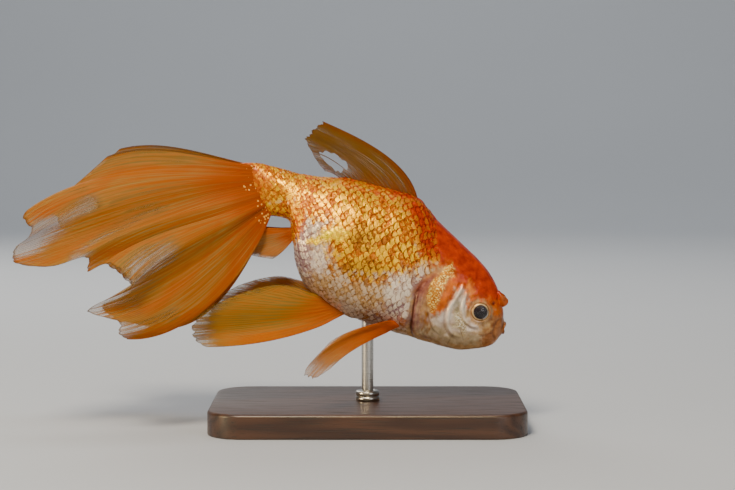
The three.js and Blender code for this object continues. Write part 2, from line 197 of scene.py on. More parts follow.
lamp("key_lamp", (-0.22, -0.50, 0.72), 0.25, 7.6, "#FFF1DC")
lamp("fill_lamp", (0.50, -0.75, 0.20), 0.36, 1.3, "#F8F6F4")
lamp("back_lamp", (-0.30, 0.60, 0.55), 0.50, 3.0, "#FFF8EE")
lamp("wall_lamp", (0.0, 0.45, 1.60), 1.20, 15.0, "#F4F8FF", aim=(0.0, 1.7, 0.5))
for where in ((0.02, -0.58, 0.52), (-0.68, -0.36, 0.14)):
    lamp("sparkle_lamp", where, 0.08, 4.0, "#FFE4B0").visible_diffuse = False
world = bpy.data.worlds.new("room_light")
world.use_nodes = True
sky = world.node_tree.nodes["Background"].inputs
sky["Color"].default_value = linear("#DDE3EA")
sky["Strength"].default_value = 0.11
bpy.context.scene.world = world
print("lamps:", [o.name for o in bpy.data.objects if o.type == "LIGHT"])

# %% [markdown]
# ## Making meshes from arrays
#
# The body, the scales and the fins are all grids of points. Building them as numpy arrays and handing the
# whole array to Blender once is much faster than adding vertices one by one, and it keeps the shape in
# formulas. The UV map named OFBake lays each piece out flat, so that its colours can be baked later.

# %% Meshes
def grid_faces(rows, columns, closed=False):
    """The quads of a grid of points, row after row. A closed grid joins its last column to its first."""
    i, j = np.meshgrid(np.arange(rows - 1), np.arange(columns - (0 if closed else 1)), indexing="ij")
    after = (j + 1) % columns
    quads = [i * columns + j, i * columns + after, (i + 1) * columns + after, (i + 1) * columns + j]
    return np.stack(quads, -1).reshape(-1, 4)


def fan_faces(tip, start, count, reverse=False):
    """Triangles from one point to a ring of points, which closes the end of a tube."""
    pairs = [(start + j, start + (j + 1) % count) for j in range(count)]
    return [[tip, *(pair[::-1] if reverse else pair)] for pair in pairs]


def make_piece(name, points, faces, material, replaces=(), uv=None, fields=None):
    """A smooth mesh from points in millimetres, that rides on the body and stands for some nodes.
    uv holds a pair for each corner of each face, and fields are numbers for each point."""
    mesh = bpy.data.meshes.new(name)
    mesh.from_pydata(points * MM, [], faces)
    if uv is not None:
        mesh.uv_layers.new(name="OFBake").data.foreach_set("uv", np.asarray(uv, np.float32).ravel())
    for field, values in (fields or {}).items():
        kind, key = ("FLOAT", "value") if np.ndim(values) == 1 else ("FLOAT_VECTOR", "vector")
        made = mesh.attributes.new(field, kind, "POINT")
        made.data.foreach_set(key, np.asarray(values, np.float32).ravel())
    mesh.shade_smooth()
    mesh.materials.append(material)
    piece = put(name, mesh)
    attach(piece, "root")
    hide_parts(*replaces)
    print(name, "has", sum(len(f) - 2 for f in faces), "triangles")


# %% [markdown]
# ## The shape of the body
#
# Fifteen ribs, each a line from the back to the belly with a half width, give the whole body. Between the
# ribs a smooth curve runs, and around each rib goes a soft oval. The frame's solids use the same ribs, so
# the skin fits them everywhere. Two more ribs close the stalk between the halves of the tail.

# %% Ribs
# back x, back z, belly x, belly z, half width, level of the widest place (-1 belly to 1 back), fullness
RIBS = np.array([
    [45.7, 34.4, 44.9, 30.2, 2.3, 0.0, 2.0],
    [45.0, 39.8, 41.8, 26.8, 4.6, 0.0, 2.1],
    [43.3, 45.9, 36.6, 25.4, 6.9, -0.05, 2.2],
    [38.9, 53.1, 29.7, 25.1, 9.0, -0.1, 2.2],
    [31.6, 60.4, 21.7, 27.1, 10.7, -0.12, 2.2],
    [24.0, 67.7, 13.8, 29.5, 12.1, -0.18, 2.15],
    [16.2, 75.8, 4.2, 32.5, 13.6, -0.22, 2.1],
    [4.2, 79.3, -5.5, 36.4, 14.4, -0.25, 2.1],
    [-6.5, 82.0, -14.2, 41.4, 14.2, -0.25, 2.1],
    [-15.8, 82.7, -20.6, 46.6, 12.4, -0.25, 2.1],
    [-21.0, 83.4, -23.8, 53.8, 9.4, -0.2, 2.0],
    [-24.6, 84.2, -24.6, 61.0, 7.0, -0.1, 2.0],
    [-28.2, 85.3, -25.6, 67.6, 5.4, 0.0, 2.0],
    [-32.4, 86.4, -30.2, 69.6, 4.4, 0.0, 2.0],
    [-37.0, 87.4, -35.0, 69.8, 3.4, 0.0, 2.0],
    [-41.0, 87.4, -39.4, 70.8, 2.0, 0.0, 2.0],
    [-44.2, 86.6, -43.0, 72.4, 0.6, 0.0, 2.0],
])
LAST_RIB = len(RIBS) - 1
DEEPEST_RIB = 7
print("the body has", len(RIBS), "ribs")


# %% The body's surface
def along_rows(rows, t):
    """A smooth curve (Catmull and Rom's) through evenly spaced rows of numbers, at places t."""
    t = np.asarray(t, float)
    i = np.clip(np.floor(t).astype(int), 0, len(rows) - 2)
    f = (t - i)[..., None]
    a, b, c, d = (rows[np.clip(i + k, 0, len(rows) - 1)] for k in (-1, 0, 1, 2))
    return 0.5 * (2 * b + (c - a) * f + (2 * a - 5 * b + 4 * c - d) * f**2 + (3 * b - a - 3 * c + d) * f**3)


def body_point(t, angle):
    """The body's surface in millimetres, at rib place t. The angle runs from the back by the right side."""
    ribs = np.moveaxis(along_rows(RIBS, t), -1, 0)
    back_x, back_z, belly_x, belly_z, half_width, level, fullness = ribs
    c, s = np.cos(angle), np.sin(angle)
    reach = np.where(c > 0, 1 - level, 1 + level)
    height = 0.5 * (level + reach * np.sign(c) * np.abs(c) ** (2 / fullness))
    side = half_width * np.sign(s) * np.abs(s) ** (2 / fullness)
    x = (back_x + belly_x) / 2 + (back_x - belly_x) * height
    z = (back_z + belly_z) / 2 + (back_z - belly_z) * height
    return np.stack([x, -side, z], -1)


def unit(vectors):
    """The same directions with a length of 1."""
    return vectors / np.maximum(np.linalg.norm(vectors, axis=-1, keepdims=True), 1e-9)


def body_normal(t, angle, step=0.01):
    """The outward direction of the body's surface."""
    along = body_point(t + step, angle) - body_point(t - step, angle)
    around = body_point(t, angle + step) - body_point(t, angle - step)
    return unit(np.cross(along, around))


back_and_belly = body_point(np.full(2, DEEPEST_RIB), np.array([0, math.pi]))
depth = np.linalg.norm(back_and_belly[0] - back_and_belly[1])
print("the body is", round(float(depth), 1), "mm deep where it is deepest")

# %% [markdown]
# ## Lines and patches on the fish's side
#
# Bones, folds and markings are known by where they lie when the fish is seen from the side. A line there
# is a few points with a smooth curve through them, and everything near it is found by its distance. That
# gives a groove, a ridge or a soft edge of colour on both sides of the fish at once. Painting masks by
# hand would look alike, but a formula gives the same result on the skin and on every scale.

# %% Distances in the side view
CURVE_STEPS = 6  # straight pieces between two points of a line


def soft_step(low, high, value):
    """0 at low and 1 at high, smooth between them and level beyond."""
    f = np.clip((value - low) / (high - low), 0, 1)
    return f * f * (3 - 2 * f)


def bump(value, width):
    """1 at zero, falling away over the width on both sides."""
    return np.exp(-((value / width) ** 2))


def near_line(x, z, line, closed=False, reach=8.0):
    """How far points are from a smooth line (reach at most), which side of it they lie on, and where
    along it."""
    knots = np.array(line + line[:1] if closed else line, float)
    knots = along_rows(knots, np.linspace(0, len(knots) - 1, CURVE_STEPS * (len(knots) - 1) + 1))
    low, high = knots.min(0) - reach, knots.max(0) + reach
    close = (x > low[0]) & (x < high[0]) & (z > low[1]) & (z < high[1])
    px, pz = x[close], z[close]
    best, side, place = np.full(px.shape, reach), np.zeros(px.shape), np.zeros(px.shape)
    for k, (a, b) in enumerate(zip(knots[:-1], knots[1:])):
        d = b - a
        share = np.clip(((px - a[0]) * d[0] + (pz - a[1]) * d[1]) / max(d @ d, 1e-9), 0, 1)
        away = np.hypot(px - a[0] - share * d[0], pz - a[1] - share * d[1])
        closer = away < best
        best = np.where(closer, away, best)
        side = np.where(closer, np.sign(d[0] * (pz - a[1]) - d[1] * (px - a[0])), side)
        place = np.where(closer, (k + share) / (len(knots) - 1), place)
    found = [np.full(x.shape, reach), np.zeros(x.shape), np.zeros(x.shape)]
    for whole, part in zip(found, (best, side, place)):
        whole[close] = part
    return found


print("a bump has fallen to", round(float(bump(1.0, 1.0)), 2), "at its width")


# %% Insides and ripples
def inside(x, z, outline):
    """True where a point of the side view lies within a closed outline."""
    found = np.zeros(x.shape, bool)
    for (ax, az), (bx, bz) in zip(outline, outline[1:] + outline[:1]):
        crosses = (az > z) != (bz > z)
        found ^= crosses & (x < (bx - ax) * (z - az) / ((bz - az) or 1e-9) + ax)
    return found


def ripple(points, size, seed, waves=10):
    """A smooth random field between about -1 and 1, with waves about size millimetres long."""
    dice = np.random.default_rng(seed)
    total = np.zeros(points.shape[:-1])
    for _ in range(waves):
        direction = dice.normal(size=3)
        direction *= 2 * math.pi / (size * np.linalg.norm(direction)) * dice.uniform(0.7, 1.4)
        total += np.sin(points @ direction + dice.uniform(0, 2 * math.pi))
    return total / 3.2


print("at the frame's origin a ripple is", ripple(np.zeros(3), 5.0, 1).round(2))

# %% [markdown]
# ## The relief of the head
#
# A goldfish's head has no scales. Under thin wet skin lie the plates of the gill cover, the curved bone
# in front of it, and the small bones under the eye, and each shows as a low ridge with a crease beside it.
# Behind the last plate a soft flap of skin stands open over the gill slit. Each is a line with a height
# across it, added along the surface's own outward direction.

# %% Bones and folds
EYE_X, EYE_Z = 36.9, 38.5
GILL_SLIT = [(27, 78), (24.2, 66), (25.4, 56.5), (24.6, 52.6), (21.7, 50.4), (19.2, 48.6), (17.0, 46.2),
             (16.1, 43.8), (15.5, 40.4), (15.1, 36.5), (14.8, 33.2), (15.4, 30.6), (17.2, 28.0), (18.5, 24)]
PLATE_EDGE = [(29.6, 52.6), (26.2, 51.8), (22.6, 49.6), (20.2, 46.6), (19.3, 43.2), (19.5, 39.4),
              (20.4, 36.0), (21.6, 32.8), (24.5, 30.2)]
GILL_ARCH = [(32.2, 48.2), (30.8, 46.0), (29.0, 43.1), (27.2, 40.3), (26.5, 36.8), (26.7, 33.7),
             (28.2, 31.2), (31.0, 29.8)]
CHEEK_BONE = [(33.2, 45.8), (32.2, 43.8), (31.5, 41.4), (31.4, 38.6), (32.1, 36.0), (33.8, 34.2),
              (36.4, 33.4), (39.4, 33.6)]
# each bone's line, the share along it where it starts to fade, its ridge's height and width, the depth,
# place and width of the groove beside it, and how much painted shade that groove gets
BONES = [
    (GILL_ARCH, 0.8, 0.62, 0.62, 0.26, 1.25, 0.55, 0.35),
    (CHEEK_BONE, 0.7, 0.50, 0.55, 0.22, 1.1, 0.5, 0.0),
]
FOLDS = [  # the line, depth and width of the folds behind the mouth, along the jaw and in the throat
    ([(44.6, 36.2), (43.2, 35.0), (42.2, 33.2), (41.7, 31.2), (42.0, 29.6), (42.6, 28.6)], 0.22, 0.5),
    ([(41.7, 31.2), (39.4, 30.5), (37.0, 30.0)], 0.10, 0.35),
    ([(30.3, 33.2), (31.2, 30.8), (31.8, 28.4)], 0.10, 0.25),
    ([(28.7, 32.0), (27.2, 29.0), (26.4, 27.2)], 0.10, 0.25),
]
NOSTRILS = [(42.0, 40.9), (43.5, 42.4)]
NOSTRIL_DEPTH, NOSTRIL_WIDTH = 0.45, 0.55
# the two ends of the roots of the dorsal, pelvic, pectoral and anal fins, and how high and how wide the
# flesh swells around each
FIN_SWELLS = [
    ((17.0, 0, 73.6), (-7.5, 0, 81.0), 0.7, 1.5),
    ((-5.6, 3.4, 37.6), (-12.0, 2.6, 42.4), 0.9, 2.0),
    ((11.4, 9.6, 33.4), (12.2, 10.4, 36.8), 0.9, 2.2),
    ((-24.6, 1.3, 66.2), (-24.0, 1.3, 62.6), 0.6, 1.6),
]
print("a cheek has", len(BONES), "bones,", len(FOLDS), "folds and", len(NOSTRILS), "nostrils")


# %% Measures on the head
def segment_distance(points, a, b):
    """How far points are from the straight line between a and b."""
    a, b = np.array(a, float), np.array(b, float)
    share = np.clip((points - a) @ (b - a) / ((b - a) @ (b - a)), 0, 1)
    return np.linalg.norm(points - a - share[..., None] * (b - a), axis=-1)


def behind_slit(points):
    """How far back of the gill slit's line points are, in the side view, and where along it."""
    away, side, place = near_line(points[..., 0], points[..., 2], GILL_SLIT, reach=200.0)
    return -side * away, place


def patch_oval(x, z, centre_x, centre_z, radius_x, radius_z):
    """1 at the middle of an oval, falling smoothly to 0 at its rim."""
    return soft_step(1, 0, np.hypot((x - centre_x) / radius_x, (z - centre_z) / radius_z))


eye_from_slit = -behind_slit(np.array([[EYE_X, 0, EYE_Z]]))[0][0]
print("the eye lies", round(float(eye_from_slit), 1), "mm ahead of the gill slit")

# %% The gill cover
FLAP_RIM_HEIGHT, SLIT_DEPTH, FLAP_PLEAT = 0.50, 0.55, 0.06
COVER_BULGE, COVER_OVAL = 0.45, (23.2, 41.0, 5.2, 10.5)
PLATE_HEIGHT, PLATE_FALL = 0.20, 1.4


def gill_cover(x, z, points, facing):
    """The height of the gill cover's bulge, flap, slit and plate, and the painted shade in their creases."""
    behind, place = behind_slit(points)
    open_slit = facing * soft_step(0.32, 0.47, place)
    edge = FLAP_RIM_HEIGHT * np.exp(np.minimum(behind, 0) / 1.7) * soft_step(0.80, -0.35, behind)
    height = open_slit * (edge - SLIT_DEPTH * bump(behind - 0.85, 0.75))
    # painted shade in the open slit
    crease = open_slit * bump(behind - 0.45, 0.42)
    flap = open_slit * soft_step(-4.6, -3.4, behind) * soft_step(0.3, -0.3, behind)
    height += FLAP_PLEAT * flap * np.sin(2 * math.pi * behind + 3 * place)
    height += COVER_BULGE * facing * patch_oval(x, z, *COVER_OVAL)

    away, side, place = near_line(x, z, PLATE_EDGE)
    ends = facing * soft_step(0, 0.08, place) * soft_step(1, 0.9, place)
    height += ends * PLATE_HEIGHT * soft_step(-0.25, 0.25, side * away) * np.exp(-away / PLATE_FALL)
    return height, np.maximum(crease, 0.35 * ends * bump(away + 0.1, 0.35))


print("the slit is", SLIT_DEPTH, "mm deep, beside a rim", FLAP_RIM_HEIGHT, "mm high")

# %% The whole relief
def relief(points, normals):
    """How far the flesh stands out from the plain body, and how much painted shade each point gets in its
    creases, grooves, folds and pits (0 to 1).
    """
    x, z = points[..., 0], points[..., 2]
    facing = soft_step(0.12, 0.4, np.abs(normals[..., 1]))
    height, crease = gill_cover(x, z, points, facing)
    # crease gathers painted shade: in the grooves beside the bones, in the folds and in the nostril pits
    for line, fade, ridge, ridge_width, groove, groove_at, groove_width, dark in BONES:
        away, side, place = near_line(x, z, line)
        ends = facing * soft_step(0, 0.15, place) * soft_step(1, fade, place)
        beside_it = away * side + groove_at
        height += ends * (ridge * bump(away, ridge_width) - groove * bump(beside_it, groove_width))
        crease = np.maximum(crease, dark * ends * bump(beside_it, 0.4))
    for line, fold_depth, width in FOLDS:
        away, side, place = near_line(x, z, line)
        ends = facing * soft_step(-0.01, 0.15, place) * soft_step(1.01, 0.85, place)
        height -= fold_depth * ends * bump(away, width)
        crease = np.maximum(crease, 0.35 * ends * bump(away, 0.8 * width))

    from_eye = np.hypot(x - EYE_X, z - EYE_Z)
    height -= facing * (0.14 * bump(from_eye - 5.1, 0.6) + 0.06 * bump(from_eye - 4.1, 0.3))
    for nostril_x, nostril_z in NOSTRILS:
        pit = facing * bump(np.hypot(x - nostril_x, z - nostril_z), NOSTRIL_WIDTH)
        height -= NOSTRIL_DEPTH * pit
        crease = np.maximum(crease, pit)

    mirrored = points * [1, 0, 1] + np.abs(points) * [0, 1, 0]
    for a, b, swell, width in FIN_SWELLS:
        height += swell * bump(segment_distance(mirrored, a, b), width)
    height += 0.05 * ripple(points, 5.0, 1) + 0.02 * ripple(points, 1.6, 2)
    return height, crease


cheek_t, cheek_angle = np.meshgrid(np.linspace(0.5, 5, 90), np.linspace(0.5, 2.6, 90), indexing="ij")
cheek = relief(body_point(cheek_t, cheek_angle), body_normal(cheek_t, cheek_angle))[0]
print("the relief of the right cheek runs from", cheek.min().round(2), "to", cheek.max().round(2), "mm")

# %% [markdown]
# ## The markings
#
# The fish is red over the head and nape, gold along the upper flank, orange on the back and stalk, and
# pearl on cheek and belly. The colour sits in the skin and in each scale, so both must agree. Each marking
# is a patch of the side view with a soft and slightly ragged edge, stored as a number at every point of
# the mesh, and the materials mix their colours by those numbers.

# %% Outlines in the side view
GOLD_FLANK = [(-48, 88), (-28, 87), (-14, 84), (-6, 83), (2, 81), (8, 79),
              (15, 74), (17.5, 67), (18.4, 62), (19.4, 58), (18.6, 54.4), (11.9, 52.1), (6.7, 50.7),
              (2.8, 49.4), (-2.5, 49.8), (-7.7, 51.4), (-11, 54.4), (-13.2, 59.3), (-14.9, 64.5),
              (-13.2, 68.4), (-17.8, 68.8), (-23, 71.4), (-29, 73.0), (-48, 73.6)]
ORANGE_BACK = [(-45, 84.4), (-28, 83.4), (-21, 81.8), (-14, 80.6), (-6, 79.4), (2, 77), (8, 75),
               (12, 71.5), (14.6, 67), (15.4, 62), (17.2, 56.8), (20.5, 54), (24.6, 53.6), (26.4, 49.8),
               (24.6, 46), (23.1, 42.7), (21.4, 38.9), (23.6, 38.9), (26.6, 41.2), (28.8, 44.2),
               (30.6, 46.6), (33.4, 45.2), (32.8, 42.6), (33.6, 40.0), (36, 42.4), (40.4, 41.0),
               (41.6, 37.4), (43.4, 36.2), (47, 35.6), (60, 60), (30, 100), (-45, 100)]
ORANGE_STALK = [(-46, 77), (-34, 75.6), (-29, 75.0), (-23, 74.4), (-18.4, 71.4), (-20.4, 68.6),
                (-22.5, 64.0), (-25, 60), (-34, 60), (-46, 64)]
RED_NAPE = [(2, 82.6), (8, 77.6), (12.6, 73.6), (15.4, 68), (16.4, 62), (18.6, 57.2), (23.4, 55.4),
            (27, 54.6), (28.6, 51.4), (29.8, 48.6), (32, 46.6), (34.6, 44.2), (39, 42.4), (50, 41.4),
            (60, 60), (30, 100), (2, 100)]
SNOUT = [(39.6, 36.4), (41.0, 34.4), (40.6, 32.2), (38.0, 30.6), (37.6, 28.6), (39.0, 25), (50, 25),
         (50, 36), (43.4, 36.8)]
YELLOW_SPOT = [(-16.4, 63.4), (-13.9, 62.4), (-10.6, 62.6), (-7.6, 63.4), (-6.2, 65.6), (-10.3, 66.6),
               (-14.2, 65.4)]
GLITTER_PLATE = [(25.0, 53.2), (28.0, 54.6), (28.4, 50.8), (26.5, 49.6), (24.7, 45.9), (23.1, 42.4),
                 (21.3, 38.6), (20.0, 40.6), (19.7, 44.9), (21.2, 48.6), (23.4, 50.8)]
print("the gold patch has", len(GOLD_FLANK), "points and the orange back", len(ORANGE_BACK))


# %% Patches of colour
def beside(line, ahead, behind, start, end, strength, stripes=0.0):
    """A marking that fades away on both sides of a line, over two widths in millimetres."""
    return {"line": line, "ahead": ahead, "behind": behind, "start": start, "end": end,
            "strength": strength, "stripes": stripes}


def patch(points, outlines, edge, ragged, seed):
    """How much of a marking each point has. An outline is a closed line, an oval (x, z and its two radii),
    or a marking beside a line."""
    shift = ragged * ripple(points, 2.2, seed) + 0.5 * ragged * ripple(points, 0.9, seed + 1)
    x, z = points[..., 0], points[..., 2]
    amount = np.zeros(x.shape)
    for outline in outlines:
        if isinstance(outline, dict):
            away, side, place = near_line(x, z, outline["line"])
            away = away + 0.3 * shift
            width = np.where(side > 0, outline["ahead"], outline["behind"])
            there = outline["strength"] * np.exp(-((np.maximum(away, 0) / width) ** 2))
            there *= soft_step(outline["start"] - 0.001, outline["start"] + 0.12, place)
            there *= soft_step(outline["end"] + 0.001, outline["end"] - 0.12, place)
            if outline["stripes"]:
                there *= 0.72 + 0.28 * np.sin(2 * math.pi * away / outline["stripes"] + 2 * shift)
        elif np.isscalar(outline[0]):
            cx, cz, rx, rz = outline
            depth = (1 - np.hypot((x - cx) / rx, (z - cz) / rz)) * min(rx, rz)
            there = soft_step(-edge, edge, depth + shift)
        else:
            away, _, _ = near_line(x, z, outline, closed=True)
            depth = np.where(inside(x, z, outline), away, -away)
            there = soft_step(-edge, edge, depth + shift)
        amount = np.maximum(amount, there)
    return amount


print("the middle of an oval has", patch(np.zeros((1, 3)), [(0, 0, 4, 4)], 1.0, 0.0, 1), "of its marking")

# %% The markings
# Each marking: its deep and its light colour, its lustre (how metallic it shines), its soft edge, how
# ragged that is, and its outlines. They are laid over each other in this order, on a ground of pearl.
PEARL = ("#A8763E", "#DCB074")
PEARL_LUSTRE = 0.18
MARKINGS = {
    "mauve": ("#8A6468", "#B4928F", 0.30, 2.5, 0.8,
              [(9.5, 39.6, 4.5, 3.0), (-22, 60, 4.5, 12), (6, 36, 10, 3), (19.5, 33.6, 2.6, 3.4),
               (16.4, 48, 2, 4)]),
    # the four ovals on the flank are silver scales made whiter by a painted glint; the three on the cheek are
    # its silvery skin
    "silver": ("#C6A488", "#F8E6D4", 0.50, 1.6, 0.8,
               [(-16.2, 66.4, 2.8, 2.6), (-15.6, 56.6, 3.2, 4.6), (10.0, 46.6, 3.8, 5.0),
                (-8.6, 39.6, 4, 2), (25.4, 34.4, 5.0, 5.0), (32.6, 33.0, 4.4, 2.8), (30.5, 42, 3.0, 5.0)]),
    "tan": ("#B0966C", "#E2CAA2", 0.26, 1.6, 0.6,
            [(21.5, 32.4, 5.0, 2.6), (29.0, 29.6, 6.5, 2.4), (35.5, 29.4, 4.0, 1.8)]),
    # partly the cheek's grey olive, partly painted shade in the groove between gill arch and cheek bone
    "olive": ("#8A7A5C", "#C0B292", 0.34, 0.9, 0.4, [(29.5, 39.6, 1.1, 4.6)]),
    "gold": ("#963F02", "#E88406", 0.38, 2.6, 1.8, [GOLD_FLANK]),
    "bronze": ("#84480E", "#B87420", 0.24, 2.2, 1.2,
               [(-2.5, 53.0, 7.5, 3.8), (-1.0, 63.4, 6.0, 4.0), (19.4, 35.4, 0.9, 2.0),
                (-3.0, 36.6, 6.0, 1.2)]),
    "orange": ("#A84206", "#EA740A", 0.26, 1.4, 0.8, [ORANGE_BACK, ORANGE_STALK]),
    "spangle": ("#A85602", "#F09806", 0.44, 2.5, 1.6, [(-33, 79.5, 9.0, 7.0)]),
    "tail_root": ("#A44802", "#D86A06", 0.10, 3.0, 1.6, [(-40.0, 78.0, 8.5, 13.0)]),
    "rust": ("#8E3C14", "#CC6C28", 0.10, 0.8, 0.4, [beside(GILL_SLIT, 4.2, 1.6, 0.20, 0.58, 0.90)]),
    "red": ("#96260A", "#D2400A", 0.08, 2.4, 0.7, [RED_NAPE, (-6.5, 84.0, 4.0, 2.6)]),
    # a painted glint, bright orange, at the top end of the cheek bone
    "amber": ("#E06A08", "#FF9A20", 0.12, 1.2, 0.4, [(33.7, 46.2, 1.1, 2.2)]),
    "maroon": ("#6A2420", "#BC8070", 0.22, 0.5, 0.2,
               [beside(GILL_SLIT, 2.6, 0.6, 0.26, 0.88, 0.92, stripes=1.3)]),
    "snout": ("#85471A", "#BC7A42", 0.10, 1.4, 0.5, [SNOUT]),
    "flap": ("#70300C", "#B0541A", 0.05, 0.8, 0.3, [(46.6, 42.0, 2.6, 2.8)]),
    "axil": ("#8A4018", "#C8743A", 0.12, 1.8, 0.7, [(10.6, 35.0, 2.0, 1.6)]),
    "lid": ("#96643A", "#C8A078", 0.18, 1.1, 0.4, [(EYE_X, EYE_Z, 3.3, 3.3)]),
    "yellow": ("#F8B400", "#FFDC00", 0.50, 0.8, 0.4, [YELLOW_SPOT, (-17.4, 62.0, 2.2, 0.9)]),
    # a painted highlight along the ridges of the gill arch and the cheek bone
    "cream": ("#E0C8A8", "#FFF2DE", 0.22, 0.5, 0.2,
              [beside(GILL_ARCH, 0.80, 0.62, 0.08, 0.85, 1.0),
               beside(CHEEK_BONE, 0.62, 0.72, 0.06, 0.72, 0.95)]),
    "glitter": ("#A8500A", "#F09A1C", 0.42, 0.5, 0.3, [GLITTER_PLATE]),
    # flecks of guanine on the cheek, made near white partly by a painted glint
    "speckle": ("#9A7C50", "#DCC494", 0.40, 0.8, 0.4,
                [(29.9, 36.6, 1.0, 2.2), (30.8, 34.2, 1.8, 1.3), (31.9, 32.4, 0.8, 1.0)]),
}
FIRST_MARKING_SEED = 20


def markings(points):
    """The share of each marking at each point, and the lustre they add up to."""
    fields = {}
    lustre = np.full(points.shape[:-1], PEARL_LUSTRE)
    for k, (name, (_, _, shine, edge, ragged, outlines)) in enumerate(MARKINGS.items()):
        amount = patch(points, outlines, edge, ragged, FIRST_MARKING_SEED + 2 * k)
        fields["mark_" + name] = amount.ravel()
        lustre = lustre * (1 - amount) + shine * amount
    fields["lustre"] = lustre.ravel()
    return fields


print("the fish has", len(MARKINGS), "markings")

# %% [markdown]
# ## Colour from the markings
#
# A marking is never one flat colour: pigment cells crowd in some spots and thin out in others. So each
# marking has a deep and a light colour, and a noise with grains of one or two millimetres mixes them. The
# same few nodes serve the skin and the scales, which is why their colours agree.

# %% Mixing the markings
def marked_colour(add, grain):
    """The colour of the markings, where grain is a noise between 0 and 1."""
    colour = add("Mix RGBA", grain, *PEARL)
    for name, (deep, light, *_) in MARKINGS.items():
        own = add("Mix RGBA", grain, deep, light)
        colour = add("Mix RGBA", add("Attribute mark_" + name, out="Fac"), colour, own)
    return colour


print("a marked material mixes", len(MARKINGS) + 1, "pairs of colours")

# %% [markdown]
# ## Skin
#
# Fish skin is a thin wet layer over a lustrous one. It has fine pores and wrinkles, and it is darker
# deep in the folds, where less light returns. On the cheek and the gill cover small worm-shaped flecks of
# guanine shine out of it, and on the cheek their near-white colour is partly a painted glint. A roughness
# around 0.33 under a thin clear coat gives the moist look without turning it to glass. The skin's own
# mirror share is low, or the pale room would veil the red.

# %% Skin material
FLESH_IOR = 1.38

skin_moist, add = new_material("fish skin, moist and lustrous")
place = add("TexCoord", out="Object")
freckle = add("TexNoise", place, per(2.2), 3.0, 0.5)
pores = add("TexNoise", place, per(0.35), 3.0)
colour = marked_colour(add, add("MapRange", freckle, 0.28, 0.68))
# painted shade: the crease number darkens the colour in creases, grooves, folds, pits, the gill slit and
# inside the mouth
colour = add("Mix RGBA", add("Attribute crease", out="Fac"), colour, "#7A4030", blend_type="MULTIPLY")
# the worm-shaped flecks; on the cheek their near-white colour is partly a painted glint
worm = add("MapRange", add("TexNoise", place, per(0.55), 1.5, Distortion=0.8), 0.48, 0.60)
flecks_glinting = add("Attribute mark_speckle", out="Fac")
glitter = add("Math MAXIMUM", add("Attribute mark_glitter", out="Fac"), flecks_glinting)
spark = add("Math MULTIPLY", glitter, worm)
colour = add("Mix RGBA", spark, colour, add("Mix RGBA", flecks_glinting, "#FFDC78", "#FFF4D8"))
uneven = add("MapRange", freckle, 0.3, 0.7, 0.5, 1.1)
shine = add("Math MULTIPLY", add("Attribute lustre", out="Fac"), uneven)
shine = add("Math ADD", shine, add("Math MULTIPLY", spark, 0.4))
rough = add("MapRange", pores, 0.3, 0.7, 0.26, 0.40)
fine = add("Bump", Height=pores, Strength=0.18, Distance=0.08 * MM)
knobbly = add("Bump", Height=freckle, Strength=0.12, Distance=0.3 * MM, Normal=fine)
add("OutputMaterial", add("BsdfPrincipled", Base_Color=colour, Metallic=shine, Roughness=rough,
                          Normal=knobbly, IOR=FLESH_IOR, Specular_IOR_Level=0.25,
                          Coat_Weight=0.20, Coat_Roughness=0.16, Coat_IOR=FLESH_IOR))
print("the skin's material has", len(skin_moist.node_tree.nodes), "nodes")

# %% [markdown]
# ## The skin's mesh
#
# The skin is one tube of rings from the lips to the end of the stalk, with no seam anywhere. Rings lie
# closest on the head, where the bones need fine points. At the lips the rings roll forward, turn inwards
# and flatten to the mouth's slit. Behind the gill slit the skin dips by the thickness of the scales, so
# that the scales end where the frame's surface is.
#
# Each eyeball has a centre and an axis that it looks along. The lids are part of the skin, and a real lid
# lies snugly on the ball all round. So near each eye the skin is drawn to the ball's own surface.

# %% Eyes and lids
EYE_RADIUS = 4.0
EYE_STANDS_PROUD = 1.35
EYE_TURNED_OUT = 0.4  # how far the eye looks along the cheek's own outward direction
LID_RADIUS = 2.98
LID_GAP = 0.10
LID_RIM = 3.35
SOCKET_DEPTH = 1.6


def flank_at(x, z):
    """The body's surface and outward direction on the right side, at x and z of the side view."""
    t, angle = np.meshgrid(np.linspace(0, 6, 600), np.linspace(0.2, math.pi - 0.2, 300), indexing="ij")
    points = body_point(t, angle)
    k = np.argmin(np.hypot(points[..., 0] - x, points[..., 2] - z))
    return points.reshape(-1, 3)[k], body_normal(t.ravel()[k : k + 1], angle.ravel()[k : k + 1])[0]


surface_at_eye, outward_at_eye = flank_at(EYE_X, EYE_Z)
EYES = {}
for name, side in (("right", 1), ("left", -1)):
    depth = -surface_at_eye[1] - EYE_RADIUS + EYE_STANDS_PROUD
    axis = unit((1 - EYE_TURNED_OUT) * np.array([0, -1.0, 0]) + EYE_TURNED_OUT * outward_at_eye)
    EYES[name] = (np.array([EYE_X, -side * depth, EYE_Z]), axis * [1, side, 1])
print("the right eye looks along", EYES["right"][1].round(2))


def fit_lids(points):
    """Draws the skin around each eye to its ball, with a soft rim and the socket open inside it."""
    points = points.copy()
    for centre, axis in EYES.values():
        offset = points - centre
        along = offset @ axis
        away = np.linalg.norm(offset - along[..., None] * axis, axis=-1)
        ball = math.sqrt(EYE_RADIUS**2 - LID_RADIUS**2) + LID_GAP
        lid = ball + 0.09 * bump(away - LID_RIM, 0.40) - 0.34 * (away - LID_RADIUS)
        pull = soft_step(4.7, 3.4, away) * (along > 0)
        socket = SOCKET_DEPTH * soft_step(LID_RADIUS + 0.18, LID_RADIUS - 0.52, away) * (along > 0)
        points += ((lid - along) * pull - socket)[..., None] * axis
    return points


# %% Lips
MOUTH_CENTRE = np.array([45.3, 0.0, 32.3])
MOUTH_FACING = np.array([0.982, 0.0, -0.187])
MOUTH_UP = np.array([0.187, 0.0, 0.982])
